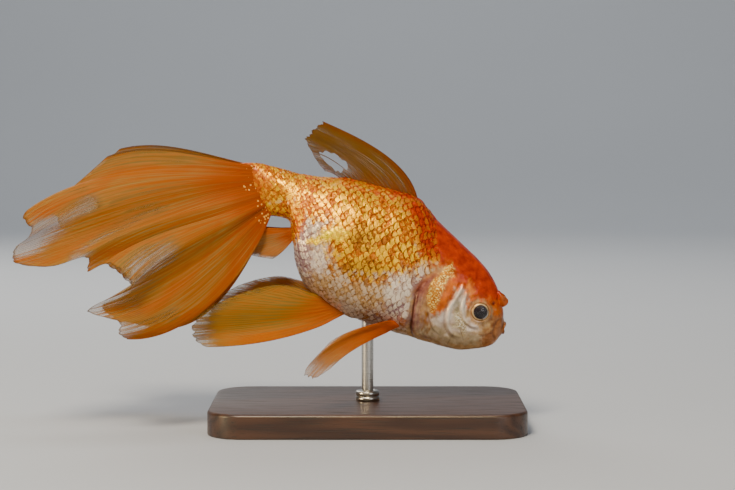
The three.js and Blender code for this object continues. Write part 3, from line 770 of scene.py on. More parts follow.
# forward, half width and half height of the rings from the outer lip to the inside of the mouth
LIP_RINGS = np.array([
    [0.0, 2.3, 2.12], [0.30, 2.48, 2.14], [0.58, 2.60, 2.00], [0.78, 2.60, 1.66], [0.84, 2.50, 1.22],
    [0.70, 2.36, 0.76], [0.34, 2.24, 0.36], [-0.4, 2.1, 0.12], [-1.9, 1.9, 0.12],
])
CORNERS_BACK, CORNERS_DOWN = 0.60, 0.75


def lip_point(w, angle):
    """The lips, at w from 0 on the outer lip to 1 inside the mouth. Their corners lie back and hang."""
    ring = along_rows(LIP_RINGS, w * (len(LIP_RINGS) - 1))
    forward, half_width, half_height = np.moveaxis(ring, -1, 0)
    corner = np.sin(angle) ** 2
    forward = forward - CORNERS_BACK * corner * soft_step(0, 0.5, w)
    drop = CORNERS_DOWN * corner * soft_step(0, 0.8, w)
    sideways = (-half_width * np.sin(angle))[..., None] * np.array([0, 1, 0])
    upwards = (half_height * np.cos(angle) - drop)[..., None] * MOUTH_UP
    return MOUTH_CENTRE + forward[..., None] * MOUTH_FACING + sideways + upwards


print("the mouth is", 2 * LIP_RINGS[:, 1].max(), "mm wide")

# %% Rings of the skin
COAT_DEPTH = 0.28
SCALES_FULL = 5.0  # how far behind the gill slit the scales stand out fully
STALK_SCALES_FADE = (15.0, 12.6)  # the rib places where the scales have sunk in and where they start to
LIP_ROWS, HEAD_ROWS, TRUNK_ROWS, AROUND = 33, 220, 63, 300
HEAD_ENDS = 5.4  # the rib place up to where rings lie close


def scale_share(behind, t):
    """How much the scales stand out of the skin: not at all at the gill slit, and fully a few rows behind
    it. They sink in again where the stalk turns into the tail."""
    return soft_step(0.0, SCALES_FULL, behind) * soft_step(*STALK_SCALES_FADE, t)


lip_places = np.linspace(1, 0, LIP_ROWS + 1)[:-1]
trunk_places = np.linspace(HEAD_ENDS, LAST_RIB, TRUNK_ROWS + 1)[1:]
ring_places = np.concatenate([np.linspace(0, HEAD_ENDS, HEAD_ROWS), trunk_places])
angles = np.linspace(0, 2 * math.pi, AROUND, endpoint=False)
ring, turn = np.meshgrid(ring_places, angles, indexing="ij")
bare = body_point(ring, turn)
outward = body_normal(ring, turn)
raised, crease = relief(bare, outward)
at_lips = soft_step(0.0, 0.5, ring)
scaled = scale_share(behind_slit(bare)[0], ring)
lip_groove = 0.10 * bump(ring - 0.40, 0.20)
skin_grid = fit_lids(bare + outward * (raised * at_lips - lip_groove - COAT_DEPTH * scaled)[..., None])
lip_w, lip_turn = np.meshgrid(lip_places, angles, indexing="ij")
skin_points = np.concatenate([lip_point(lip_w, lip_turn), skin_grid]).reshape(-1, 3)
# painted shade inside the mouth and in the groove behind the lips, through the crease number
inner_lip_shade = soft_step(0.5, 0.8, lip_w)
crease = np.concatenate([inner_lip_shade, np.maximum(crease * at_lips, 2 * lip_groove)]).ravel()
print("the skin has", len(lip_places) + len(ring_places), "rings of", AROUND, "points")

# %% The skin's flat layout
LIPS_BELOW, BODY_SPAN = 0.05, 0.94


def unwrap(t, angle):
    """Where a place on the body lies on its flat layout, from 0 to 1 each way. Lips lie below 0.05."""
    return np.stack([angle / (2 * math.pi), LIPS_BELOW + BODY_SPAN * t / LAST_RIB], -1)


rows = len(lip_places) + len(ring_places)
flat_t = np.concatenate([-LIPS_BELOW / BODY_SPAN * LAST_RIB * lip_places, ring_places])
corner_t, corner_turn = np.meshgrid(flat_t, np.linspace(0, 2 * math.pi, AROUND + 1), indexing="ij")
flat = unwrap(corner_t, corner_turn).reshape(-1, 2)
faces = grid_faces(rows, AROUND, closed=True)[:, ::-1].tolist()
skin_uv = flat[grid_faces(rows, AROUND + 1)[:, ::-1]].reshape(-1, 2).tolist()
print("its flat layout has", len(skin_uv), "corners")

# %% [markdown]
# Both ends of the tube need closing: the back of the mouth and the tip of the stalk. Each gets a fan of
# triangles to one point in its middle, so that the skin is one closed body.

# %% Closing the ends of the skin
STALK_TIP = [0.3, 0, 0]  # how far the last point lies behind the last ring

mouth_back = skin_points[:AROUND].mean(0)
stalk_end = skin_points[-AROUND:].mean(0) - STALK_TIP
first_tip, last_row = rows * AROUND, (rows - 1) * AROUND
skin_points = np.vstack([skin_points, mouth_back, stalk_end])
# the point deep in the mouth takes full painted shade
crease = np.append(crease, [1.0, 0.0])
faces += fan_faces(first_tip, 0, AROUND) + fan_faces(first_tip + 1, last_row, AROUND, reverse=True)
skin_uv += [[0.5, 0.001]] * (3 * AROUND) + [[0.5, 0.999]] * (3 * AROUND)
print("the stalk's last point is at", stalk_end.round(1))

# %% [markdown]
# ## Nostril flaps
#
# In front of each eye a small leaf of skin stands beside the nostril. It is one closed leaf, thick at its
# root and thin at its rim, sunk into the snout and joined to the skin's mesh.

# %% Nostril flaps
FLAP_AT = (44.0, 3.5, 42.3)
FLAP_LENGTH, FLAP_HEIGHT, FLAP_THICKNESS = 3.1, 1.9, 0.42
FLAP_SWING, FLAP_DROOP = math.radians(14), math.radians(28)
FLAP_ROWS, FLAP_ROUND = 40, 44


def turned_by(a, b, angle):
    """Two coordinates turned about the third by an angle."""
    return a * math.cos(angle) - b * math.sin(angle), a * math.sin(angle) + b * math.cos(angle)


def nostril_flap(side):
    """A ring loft of a bent leaf, as rows of points from its root to its tip."""
    round_it = np.linspace(0, 2 * math.pi, FLAP_ROUND, endpoint=False)
    s, a = np.meshgrid(np.linspace(0, math.pi, FLAP_ROWS), round_it, indexing="ij")
    out = (1 - np.cos(s)) / 2
    lobes = 1 + 0.10 * np.cos(5 * s + 0.6) * np.cos(a) ** 2 - 0.14 * bump(s - 2.3, 0.22) * np.cos(a)
    x = -FLAP_LENGTH * np.cos(s)
    z = FLAP_HEIGHT * np.sin(s) ** 0.7 * np.cos(a) * lobes
    y = FLAP_THICKNESS * (1.6 - out) * np.sin(s) ** 0.7 * np.sin(a)
    y += side * (0.9 * out**2 + 0.30 * out * np.sin(2.1 * z + 1.5 * x))
    z, x = turned_by(z, x, FLAP_DROOP)
    x, y = turned_by(x, y, side * FLAP_SWING)
    return np.stack([x, y, z], -1) + np.array(FLAP_AT) * [1, side, 1]


for side in (-1, 1):
    leaf = nostril_flap(side)
    leaf_faces = grid_faces(FLAP_ROWS, FLAP_ROUND, closed=True) + len(skin_points)
    faces += leaf_faces.tolist()
    skin_uv += [[0.5 + 0.02 * side, 0.02]] * (4 * len(leaf_faces))
    skin_points = np.vstack([skin_points, leaf.reshape(-1, 3)])
    crease = np.append(crease, np.zeros(FLAP_ROWS * FLAP_ROUND))
print("a nostril flap is", 2 * FLAP_LENGTH, "mm long with its root")

# %% The skin
FLESH = ["head", "upper_lip", "lower_jaw", "gill_cover_right", "gill_cover_left", "trunk", "tail_stalk",
         "nostril_flap_right", "nostril_flap_left"]
skin_fields = markings(skin_points)
# crease carries the painted shade to the skin's material
skin_fields["crease"] = crease
make_piece("skin", skin_points, faces, skin_moist, FLESH, skin_uv, skin_fields)

# %% [markdown]
# ## Scales
#
# Each scale is a thin round plate. Its front is rooted under the skin and its free edge lies over the
# next two behind it, like tiles on a roof. They could be scattered with Geometry Nodes, but the rows have
# to follow the body's own rings, so the centres are worked out ring by ring: each ring's centres lie
# midway between those of the ring before, and where the body narrows, a ring drops a scale.

# %% Where the scales sit
SCALE_STEP, SCALE_PITCH = 1.26, 2.8  # millimetres between rings, and between the scales on a ring
TIGHTEST, WIDEST = 0.74, 1.12  # the shares of a pitch where a ring drops a scale or takes one more
FIRST_RING, LAST_RING = 3.6, 14.3  # rib places
NARROW_RING, WIDE_RING = 60, 100  # the lengths of skin around a ring from where to where the step grows
SAMPLES = 720


def ring_table(t):
    """Angles around a ring and the length of skin up to each."""
    turns = np.linspace(0, 2 * math.pi, SAMPLES + 1)
    path = body_point(np.full(SAMPLES + 1, t), turns)
    steps = np.linalg.norm(np.diff(path, axis=0), axis=1)
    return turns, np.concatenate([[0], np.cumsum(steps)])


def ring_angle(t, length):
    """The angle where a length of skin around a ring ends."""
    turns, lengths = ring_table(t)
    return np.interp(length % lengths[-1], lengths, turns)


def even_out(places):
    """Moves centres on a ring towards the middle of their neighbours."""
    for _ in range(6):
        before = np.roll(places, 1)
        before[0] -= 1.0
        after = np.roll(places, -1)
        after[-1] += 1.0
        places = 0.5 * places + 0.25 * (before + after)
    return places


def gaps_between(places):
    """The gap after each place on a ring, a little uneven so that equal gaps don't tie."""
    gaps = np.diff(np.append(places, places[0] + 1))
    return gaps, gaps + 0.0005 * chance.random(len(gaps))


print("the first ring is", round(float(ring_table(FIRST_RING)[1][-1]), 1), "mm round")

# %% Ring by ring
centres = []
t = FIRST_RING
count = round(ring_table(t)[1][-1] / SCALE_PITCH)
share = np.arange(count) / count
while t < LAST_RING:
    turns, lengths = ring_table(t)
    total = lengths[-1]
    share = (share + np.append(share[1:], share[0] + 1)) / 2
    share = np.sort(share % 1)
    while len(share) * SCALE_PITCH * TIGHTEST > total:
        gaps, uneven_gaps = gaps_between(share)
        share = even_out(np.delete(share, np.argmin(uneven_gaps)))
    while len(share) * SCALE_PITCH * WIDEST < total:
        gaps, uneven_gaps = gaps_between(share)
        widest = np.argmax(uneven_gaps)
        share = even_out(np.sort(np.append(share, share[widest] + gaps[widest] / 2) % 1))
    share = even_out(share)
    ahead = body_point(np.full(SAMPLES, t + 0.01), turns[:-1]) - body_point(np.full(SAMPLES, t), turns[:-1])
    pace = np.linalg.norm(ahead, axis=1).mean() / 0.01
    step = SCALE_STEP / pace * (0.80 + 0.20 * soft_step(NARROW_RING, WIDE_RING, total))
    for place_on_ring in share:
        centres.append((t, place_on_ring * total, total / len(share), step))
    t += step
print("the rings hold", len(centres), "places for scales")

# %% [markdown]
# A scale's grid is a square pulled into a disc, which keeps its quads even up to the round rim. Its points
# are laid on the body by length along and around the rings, then raised: low at the root, high at the
# free edge, and crowned across. Each one is tilted a little at random, so that some catch the light and
# others don't.

# %% One scale
ACROSS, ALONG = 10, 9
SCALE_THICKNESS = 0.10
MIDDLE_HEIGHT, RISE, CROWN, RIM_ROUND = -0.09, 0.19, 0.07, 0.05  # millimetres over the bare body

a, b = np.meshgrid(np.linspace(-1, 1, ALONG), np.linspace(-1, 1, ACROSS), indexing="ij")
disc_along = (a * np.sqrt(1 - b**2 / 2)).ravel()
disc_across = (b * np.sqrt(1 - a**2 / 2)).ravel()
disc_radius = np.hypot(disc_along, disc_across)
disc_height = MIDDLE_HEIGHT + RISE * disc_along + CROWN * (1 - disc_across**2) - RIM_ROUND * disc_radius**6
top = np.arange(ALONG * ACROSS).reshape(ALONG, ACROSS)
rim = np.concatenate([top[0, :-1], top[:-1, -1], top[-1, :0:-1], top[:0:-1, 0]])
top_faces = grid_faces(ALONG, ACROSS)
under = ALONG * ACROSS + np.arange(len(rim))
under_next = np.roll(under, -1)
middle = np.full(len(rim), ALONG * ACROSS + len(rim))
rim_faces = np.stack([rim, under, under_next, np.roll(rim, -1)], -1)[:, ::-1]
floor_faces = np.stack([under, middle, under_next], -1)[:, ::-1]
point_source = np.concatenate([np.arange(ALONG * ACROSS), rim, [top[ALONG // 2, ACROSS // 2]]])
print("a scale has", 2 * len(top_faces) + 2 * len(rim_faces) + len(floor_faces), "triangles")

# %% Laying the scales
SIZE_SPREAD, TILT_SPREAD, SHIFT_SPREAD = 0.05, 0.055, 0.05
SCALE_HALF_WIDTH, SCALE_HALF_LENGTH = 0.60, 1.5  # in pitches across and in steps along
BAKE_PATCH = 0.0015  # half the width of a scale's patch on the flat layout


def lay_scales(name, chosen):
    """One joined mesh of the chosen scales."""
    rooted = []
    for t, length_round, pitch, step, behind in chosen:
        size = chance.normal(1.0, SIZE_SPREAD)
        tilt_along, tilt_across = chance.normal(0, TILT_SPREAD, 2)
        shift_along, shift_across = chance.normal(0, SHIFT_SPREAD, 2)
        across = (disc_across * size * SCALE_HALF_WIDTH + shift_across) * pitch
        here_t = t + (disc_along * size * SCALE_HALF_LENGTH + shift_along) * step
        here_angle = ring_angle(t, length_round + across)
        lift = disc_height + tilt_along * disc_along + tilt_across * disc_across
        out = scale_share(behind, t)
        lift = lift * (0.55 + 0.45 * out) - 0.07 * (1 - out)
        rooted.append((here_t, here_angle, lift, chance.random(), t, ring_angle(t, length_round)))
    here_t, here_angle, lift, luck, root_t, root_angle = map(np.array, zip(*rooted))
    bare = body_point(here_t, here_angle)
    outward = body_normal(here_t, here_angle)
    behind = behind_slit(bare)[0]
    height = relief(bare, outward)[0] + (lift - 0.6 * soft_step(1.3, 0.1, behind))
    tops = bare + outward * height[..., None]
    rims = tops[:, rim] - outward[:, rim] * (0.6 * SCALE_THICKNESS)
    middles = tops.mean(1, keepdims=True) - outward.mean(1, keepdims=True) * 2.2 * SCALE_THICKNESS
    points = np.concatenate([tops, rims, middles], 1)
    offsets = (np.arange(len(chosen)) * len(point_source))[:, None, None]
    quads = np.concatenate([top_faces, rim_faces])[None] + offsets
    triangles = floor_faces[None] + offsets
    all_faces = quads.reshape(-1, 4).tolist() + triangles.reshape(-1, 3).tolist()
    each = np.broadcast_arrays(disc_along[point_source], disc_across[point_source], luck[:, None])
    disc = np.stack(each, -1)
    uv = unwrap(root_t, root_angle)[:, None, :] + BAKE_PATCH * disc[..., [1, 0]]
    corner_uv = uv.reshape(-1, 2)[np.concatenate([quads.ravel(), triangles.ravel()])]
    fields = markings(points)
    fields["disc"] = disc.reshape(-1, 3)
    fields["shown"] = scale_share(behind, here_t)[:, point_source].ravel()
    make_piece(name, points.reshape(-1, 3), all_faces, scale_horn, (), corner_uv, fields)


print("a scale is about", round(2 * SCALE_HALF_WIDTH * SCALE_PITCH, 1), "mm wide")

# %% [markdown]
# ## The scales' material
#
# A scale is clear horn over a layer of guanine crystals, which mirror light like fine metal leaf. On the
# gold flank the crystals lie in bright ragged flakes in the middle of each scale, and the skin between
# shows brown. Each scale's rim is painted darker, partly for that brown and partly as painted shade
# where the scales overlap. So the metallic share, the lightness and the roughness all change across each
# scale, and every scale has its own luck in how bright it is. The fine growth rings are real at 0.05 mm;
# they are drawn at 0.3 mm, or they would vanish.

# %% Scale material
GROWTH_WAVE = 36.0  # radians from a scale's centre to its rim, which makes one growth ring 0.3 mm

scale_horn, add = new_material("fish scale, clear horn over guanine")
place = add("TexCoord", out="Object")
along, across, luck = add("SeparateXYZ", add("Attribute disc", out="Vector")).node.outputs
lustre = add("Attribute lustre", out="Fac")
freckle = add("TexNoise", place, per(1.1), 4.0, 0.65)
flake_noise = add("TexNoise", place, per(0.8), 3.0, Distortion=0.6)
crowd_noise = add("TexNoise", place, per(7.0), 2.0)
colour = marked_colour(add, add("MapRange", freckle, 0.36, 0.64))

from_centre = add("VectorMath LENGTH", add("CombineXYZ", add("Math ADD", along, -0.25), across))
flake = add("MapRange", from_centre, 0.35, 0.85, 1.0, 0.0)
for noise, low, high, least, most in ((flake_noise, 0.3, 0.7, -0.65, 0.65), (luck, 0.0, 1.0, -0.95, 0.50),
                                      (crowd_noise, 0.35, 0.65, -0.3, 0.35)):
    flake = add("Math ADD", flake, add("MapRange", noise, low, high, least, most))
flake = add("MapRange", flake, 0.30, 0.75)

gold = 0.0
for name in ("gold", "orange", "yellow"):
    gold = add("Math MAXIMUM", gold, add("Attribute mark_" + name, out="Fac"))
smooth = add("Attribute mark_yellow", out="Fac")
leaf = add("Mix RGBA", smooth, add("Mix RGBA", gold, "#FCE8CC", "#FFC412"), "#FFE000")
bright = add("Math MULTIPLY", add("Math MULTIPLY", flake, lustre), 2.5, use_clamp=True)
colour = add("Mix RGBA", bright, colour, leaf)

# painted shade: each scale's rim is darkened, partly for the brown skin between scales and partly as shade
# where scales overlap
edge = add("VectorMath LENGTH", add("CombineXYZ", along, across))
edge = add("MapRange", edge, 0.82, 1.0, 0.0, 0.68)
edge = add("Math MULTIPLY", edge, add("Attribute shown", out="Fac"))
edge = add("Math MULTIPLY", edge, add("MapRange", freckle, 0.38, 0.62, 1.35, 0.15), use_clamp=True)
edge = add("Math MULTIPLY", edge, add("MapRange", smooth, 0.0, 1.0, 1.0, 0.2))
rim_tone_and_shade = add("Mix RGBA", gold, "#BE9C80", "#A85610")
colour = add("Mix RGBA", edge, colour, rim_tone_and_shade, blend_type="MULTIPLY")

shine = add("Math MULTIPLY", lustre, add("MapRange", flake, 0.0, 1.0, 0.4, 1.9))
rough = add("MapRange", flake_noise, 0.3, 0.7, 0.24, 0.48)
growth = add("Math SINE", add("Math MULTIPLY", from_centre, GROWTH_WAVE))
rings = add("Bump", Height=growth, Strength=0.12, Distance=0.05 * MM)
uneven_face = add("Bump", Height=flake_noise, Strength=0.6, Distance=0.25 * MM, Normal=rings)
add("OutputMaterial", add("BsdfPrincipled", Base_Color=colour, Metallic=shine, Roughness=rough,
                          Normal=uneven_face, IOR=FLESH_IOR, Specular_IOR_Level=0.15,
                          Coat_Weight=0.04, Coat_Roughness=0.12, Coat_IOR=FLESH_IOR))
print("the scales' material has", len(scale_horn.node_tree.nodes), "nodes")

# %% The coat of scales
FIRST_SCALE, FIRST_SCALE_ON_SHOULDER, SHOULDER_TOP = 0.5, 1.7, 56
SCALES_THIN_OUT = (13.0, 15.4)  # the rib places where the last scales start to be left out, and are all gone

coat = {"right": [], "left": []}
for t, length_round, pitch, step in centres:
    angle = ring_angle(t, length_round)
    spot = body_point(np.array([t]), np.array([angle]))
    behind = behind_slit(spot)[0][0]
    first = FIRST_SCALE_ON_SHOULDER if spot[0, 2] < SHOULDER_TOP else FIRST_SCALE + chance.random()
    if behind > first and chance.random() > soft_step(*SCALES_THIN_OUT, t):
        coat["right" if angle < math.pi else "left"].append((t, length_round, pitch, step, behind))
for side, rows_of_scales in coat.items():
    half = len(rows_of_scales) // 2
    lay_scales(f"scales_{side}_front", rows_of_scales[:half])
    lay_scales(f"scales_{side}_rear", rows_of_scales[half:])
print("the coat has", sum(map(len, coat.values())), "scales")

# %% [markdown]
# ## Eyes
#
# The eye is a ball with a wide black pupil, a thin pale gold iris and a clear cornea over both. A fish's
# lens is a ball that bulges through the pupil. Ball and cornea are both turned from a profile around the
# eye's own axis, as on a lathe, and the cornea is a clear shell that mirrors the lamps.

# %% Eye shapes
def turned(profile, centre, axis, steps=72):
    """Points and faces of a profile of (radius, height) turned around an axis."""
    axis = unit(np.array(axis, float))
    first = unit(np.cross([0.0, 0.0, 1.0] if abs(axis[2]) < 0.9 else [1.0, 0.0, 0.0], axis))
    second = np.cross(axis, first)
    profile = np.array(profile, float)
    turn = np.linspace(0, 2 * math.pi, steps, endpoint=False)
    circle = np.cos(turn)[:, None] * first + np.sin(turn)[:, None] * second
    points = centre + profile[:, None, :1] * circle + profile[:, None, 1:] * axis
    ends = centre + profile[[0, -1], 1][:, None] * axis
    count = len(profile) * steps
    faces = grid_faces(len(profile), steps, closed=True).tolist()
    faces += fan_faces(count, 0, steps, reverse=True) + fan_faces(count + 1, count - steps, steps)
    return np.vstack([points.reshape(-1, 3), ends]), faces


def arc(radius, start, end, steps):
    """A profile along a circle, where the angles are measured from the axis."""
    return [(radius * math.sin(a), radius * math.cos(a)) for a in np.linspace(start, end, steps)]


PUPIL_RADIUS, IRIS_RADIUS, BALL_RADIUS, CORNEA_THICKNESS = 2.28, 3.0, 3.75, 0.18
CORNEA_MIDDLE, CORNEA_RIM = 0.03, 0.86
lens = [(r, 3.42 - 0.075 * r**2) for r in np.linspace(0.15, PUPIL_RADIUS, 10)]
iris = [(PUPIL_RADIUS + 0.04, 3.02), (2.5, 3.05), (2.7, 2.98), (IRIS_RADIUS, 2.72), (3.3, 2.3)]
ball = lens + iris + arc(BALL_RADIUS, 1.15, math.pi - 0.05, 18)
cornea = arc(EYE_RADIUS, CORNEA_MIDDLE, CORNEA_RIM, 16)
cornea += arc(EYE_RADIUS - CORNEA_THICKNESS, CORNEA_RIM, CORNEA_MIDDLE, 16)
print("the pupil is", 2 * PUPIL_RADIUS, "mm wide")

# %% [markdown]
# The iris is a ring of the same guanine as the scales, so it is pale gold and slightly metallic, with fine
# lines running out from the pupil. The cornea is clear horn: it lets light straight through, and mirrors
# a little of it by Fresnel's law, more at its rim.

# %% Eye materials
RAMP_END = 4.0  # the distance from the eye's axis, in millimetres, at the end of the colour ramp

eye_layers, add = new_material("fish eye, pigment and guanine")
ring = add("Attribute from_axis", out="Fac")
threads = add("TexNoise", add("TexCoord", out="Object"), per(0.4), 3.0)
ragged_ring = add("Math ADD", ring, add("MapRange", threads, 0.0, 1.0, -0.06, 0.06))
band = add("ValToRGB", add("Math DIVIDE", ragged_ring, RAMP_END))
stops = [(0.0, "#22101A"), (0.55, "#24121A"), (0.585, "#8E6840"), (0.63, "#DCC090"), (0.69, "#B88A50"),
         (0.76, "#96683A"), (1.0, "#6A4224")]
ramp = band.node.color_ramp
while len(ramp.elements) < len(stops):
    ramp.elements.new(0.5)
for element, (position, hex_colour) in zip(ramp.elements, stops):
    element.position = position
    element.color = linear(hex_colour)
metal = add("MapRange", ring, 2.35, 2.45, 0.0, 0.5)
lines = add("Bump", Height=add("Math MULTIPLY", threads, metal), Strength=0.4, Distance=0.1 * MM)
add("OutputMaterial", add("BsdfPrincipled", Base_Color=band, Metallic=metal, Roughness=0.32, Normal=lines))

cornea_clear, add = new_material("cornea, clear and wet")
mirror = add("BsdfAnisotropic", Color="#9A9A9A", Roughness=0.06)
clear = add("BsdfTransparent", Color="#FFFFFF")
add("OutputMaterial", add("MixShader", add("Fresnel", IOR=1.34), clear, mirror))
print("the eye's ramp has", len(stops), "colours")

# %% Eyes in place
for name, (centre, axis) in EYES.items():
    for part, profile, material in (("ball", ball, eye_layers), ("cornea", cornea, cornea_clear)):
        points, faces = turned(profile, centre, axis)
        off_axis = np.linalg.norm(np.cross(points - centre, axis), axis=1)
        behind = (points - centre) @ axis < 0
        fields = {"from_axis": np.where(behind, EYE_RADIUS, off_axis)}
        make_piece(f"eye_{name}_{part}", points, faces, material, [f"eye_{name}"], None, fields)

# %% [markdown]
# ## Fins
#
# A fin is a thin clear web stretched over bony rays. The rays leave the root close together, branch two
# or three times, and sweep back in long curves, and between them the web folds into soft pleats. The
# fan of guide rays below is the frame's own: each has its place across the fin, its tip, and its
# headings at the root and the tip. The two lobes of each half of the tail share one web.

# %% Guide rays
# the rays of each fin: place across the fan, the tip's x, z and distance from the middle, and the two
# headings in degrees
GUIDES = {
    "tail_right": [
        [0.0, -86.1, 89.5, 6, 172, 203], [0.15, -100.4, 76.9, 12, 174, 212],
        [0.3, -111.0, 71.9, 17, 176, 216], [0.45, -109.6, 64.3, 20, 179, 218],
        [0.58, -114.5, 60.2, 22, 183, 202], [0.7, -115.1, 56.2, 24, 186, 194],
        [0.85, -102.5, 54.7, 25, 190, 200], [1.0, -90.6, 57.6, 24.2, 195.5, 216.5],
        [1.16, -90.8, 52.8, 26, 201, 210], [1.3, -83.6, 55.2, 27, 205, 222],
        [1.45, -75.2, 48.8, 28, 210, 232], [1.6, -89.5, 41.2, 29, 217, 192],
        [1.75, -81.4, 37.3, 28, 226, 192], [1.88, -80.1, 33.5, 26, 238, 184],
        [2.0, -78.4, 31.4, 24, 252, 172]],
    "tail_left": [
        [0.0, -83.6, 91.8, 6, 171, 196], [0.2, -96.3, 81.2, 14, 174, 205], [0.4, -109.6, 73.0, 20, 178, 215],
        [0.6, -106.2, 64.9, 24, 182, 214], [0.8, -102.4, 59.9, 26, 188, 214],
        [1.0, -93.2, 54.8, 26, 195.5, 216.5], [1.2, -86.2, 47.2, 28, 202, 222],
        [1.4, -79.5, 40.0, 30, 210, 226], [1.6, -93.5, 36.5, 30, 217, 196],
        [1.8, -82.8, 30.7, 28, 230, 190], [2.0, -72.2, 29.1, 26, 246, 176]],
    "dorsal": [
        [0.0, -15.1, 101.3, 0, 98, 156], [0.3, -19.1, 97.2, 2, 116, 158], [0.6, -20.5, 94.9, 2.5, 130, 165],
        [0.8, -17.5, 89.0, 1.5, 140, 172], [1.0, -14.2, 84.6, 1, 150, 178]],
    "pelvic_right": [
        [0.0, -53.4, 27.4, 12, 206, 178], [0.3, -58.0, 31.4, 13, 200, 184], [0.6, -52.4, 40.4, 13, 192, 180],
        [0.85, -32.0, 47.4, 11, 176, 164], [1.0, -19.4, 45.2, 7, 165, 160]],
    "pelvic_left": [
        [0.0, -51.0, 29.6, 9, 204, 184], [0.3, -54.0, 36.4, 10, 197, 188], [0.6, -46.0, 44.6, 10, 188, 178],
        [0.85, -31.0, 49.0, 9, 174, 160], [1.0, -19.0, 46.5, 6, 162, 156]],
    "pectoral_right": [
        [0.0, -12.1, 21.9, 26, 196, 222], [0.35, -17.5, 18.9, 28, 194, 232], [0.7, -20.1, 21.5, 26, 192, 230],
        [1.0, -12.2, 29.9, 20, 190, 212]],
    "pectoral_left": [
        [0.0, -14.0, 41.0, 24, 176, 166], [0.35, -22.0, 46.0, 27, 170, 160], [0.7, -22.5, 52.0, 28, 162, 154],
        [1.0, -13.0, 53.0, 25, 152, 146]],
}
GUIDES["anal_right"] = GUIDES["anal_left"] = [
    [0.0, -36.6, 66.0, 3.5, 196, 182], [0.35, -41.0, 61.0, 5, 206, 192], [0.7, -39.0, 57.2, 5, 218, 200],
    [1.0, -31.5, 55.6, 4, 230, 208]]
print("the fins have", sum(map(len, GUIDES.values())), "guide rays")

# %% Kinds of fin
# root: a line in the side view; root_y: how far its ends are from the middle; pleats: their depth, count,
# slip and start; spread and hug: see fin_points; grid: rows and columns of points; narrow: how much the
# root narrows; flesh: how thick it is there; colours: at the root, on the rays and bands, in the web,
# where the web is clear, and along the rim
FinKind = namedtuple("FinKind", "root root_y pleats spread hug grid rays narrow flesh colours")
KINDS = {
    "tail": FinKind(
        [(-34.4, 85.8), (-32.5, 77.9), (-31.8, 70.9)], (0.8, 1.8), (1.8, 2.0, 0.35, 0.1), 0.78, 0.05,
        (120, 290), 9, 0.0, 0.30, ("#A84802", "#AE5604", "#8A6014", "#B49650", "#5A3614")),
    "dorsal": FinKind(
        [(17.0, 74.0), (-7.5, 81.2)], (0, 0), (1.0, 1.3, 0.2, 0), 1, 0.001,
        (90, 130), 16, 0.0, 0.45, ("#84400A", "#78420A", "#64480E", "#886826", "#44260E")),
    "pelvic": FinKind(
        [(-5.6, 37.6), (-12.0, 42.4)], (3.4, 2.6), (1.2, 1.7, 0.2, 0.1), 0.8, 0.03,
        (90, 110), 9, 0.15, 0.8, ("#B85804", "#C66806", "#96701A", "#A8964A", "#7A5A20")),
    "pectoral": FinKind(
        [(11.4, 33.4), (12.2, 36.8)], (4.4, 7.6), (0.7, 1.4, 0.2, 0), 0.9, 0.001,
        (70, 80), 9, 0.45, 1.5, ("#C04E0A", "#AE560E", "#986220", "#BC965C", "#6A3C18")),
    "anal": FinKind(
        [(-24.6, 66.2), (-24.0, 62.6)], (1.3, 1.3), (0.6, 1.2, 0.2, 0), 0.9, 0.001,
        (50, 56), 6, 0.1, 0.5, ("#AC4E0A", "#B4560C", "#946022", "#B6945A", "#5E3A16")),
}
print("the kinds of fin are", *KINDS)

# %% [markdown]
# One function turns the guide rays into points: u runs from the root to the rim and v across the fan. A
# second one gives the bony rays: it folds v over and over at each branching, so that one distance tells
# how far any point is from its nearest ray. The web is 0.2 mm thick here and the rays stand out of it,
# thick and fleshy at the root, thread-fine at the rim.

# %% Fin shapes
BRANCHINGS = [(0.16, 0.34, 0.25), (0.42, 0.62, 0.125), (0.66, 0.86, 0.0625)]


def fin_points(name, u, v):
    """The middle surface of a fin, in millimetres. The spread says how soon it swings outwards, and hug how
    long its root stays beside the body."""
    kind, _, side = name.partition("_")
    fin = KINDS[kind]
    depth, count, slip, start = fin.pleats
    guides = np.array(GUIDES[name], float)
    tip_x, tip_z, tip_y, heading_out, heading_in = np.moveaxis(
        along_rows(guides[:, 1:], np.interp(v, guides[:, 0], np.arange(len(guides)))), -1, 0)
    share = v / guides[-1, 0]
    places = np.linspace(0, 1, len(fin.root))
    start_x, start_z = (np.interp(share, places, ends) for ends in zip(*fin.root))
    start_y = np.interp(share, [0, 1], fin.root_y)
    reach = np.hypot(tip_x - start_x, tip_z - start_z)
    go, come = np.radians(heading_out), np.radians(heading_in)
    blend = u * u * (3 - 2 * u)
    out, back = reach * u * (1 - u) ** 2, reach * u * u * (u - 1)
    wave = np.sin(2 * math.pi * (count * v + slip * u + start))
    spreading = u**fin.spread * (1 - np.exp(-u / fin.hug))
    x = start_x + (tip_x - start_x) * blend + out * np.cos(go) + back * np.cos(come)
    z = start_z + (tip_z - start_z) * blend + out * np.sin(go) + back * np.sin(come)
    y = start_y + (tip_y - start_y) * spreading + depth * u**1.4 * wave
    return np.stack([x, y if side == "left" else -y, z], -1)


def from_ray(u, v, rays):
    """How far a place on the fan is from its nearest ray, as a share of the space between two rays."""
    away = np.abs((v * rays) % 1 - 0.5)
    for begins, done, spread in BRANCHINGS:
        away = np.abs(away - spread * soft_step(begins, done, u))
    return away


print("a ray ends in", 2 ** len(BRANCHINGS), "threads")

# %% [markdown]
# Pigment lies along some rays and leaves others clear. On the tail it makes a few saturated bands that
# sweep from the root to the tips, with clear windows between them, and on the other fins it is strongest
# at the root and along the leading edge.

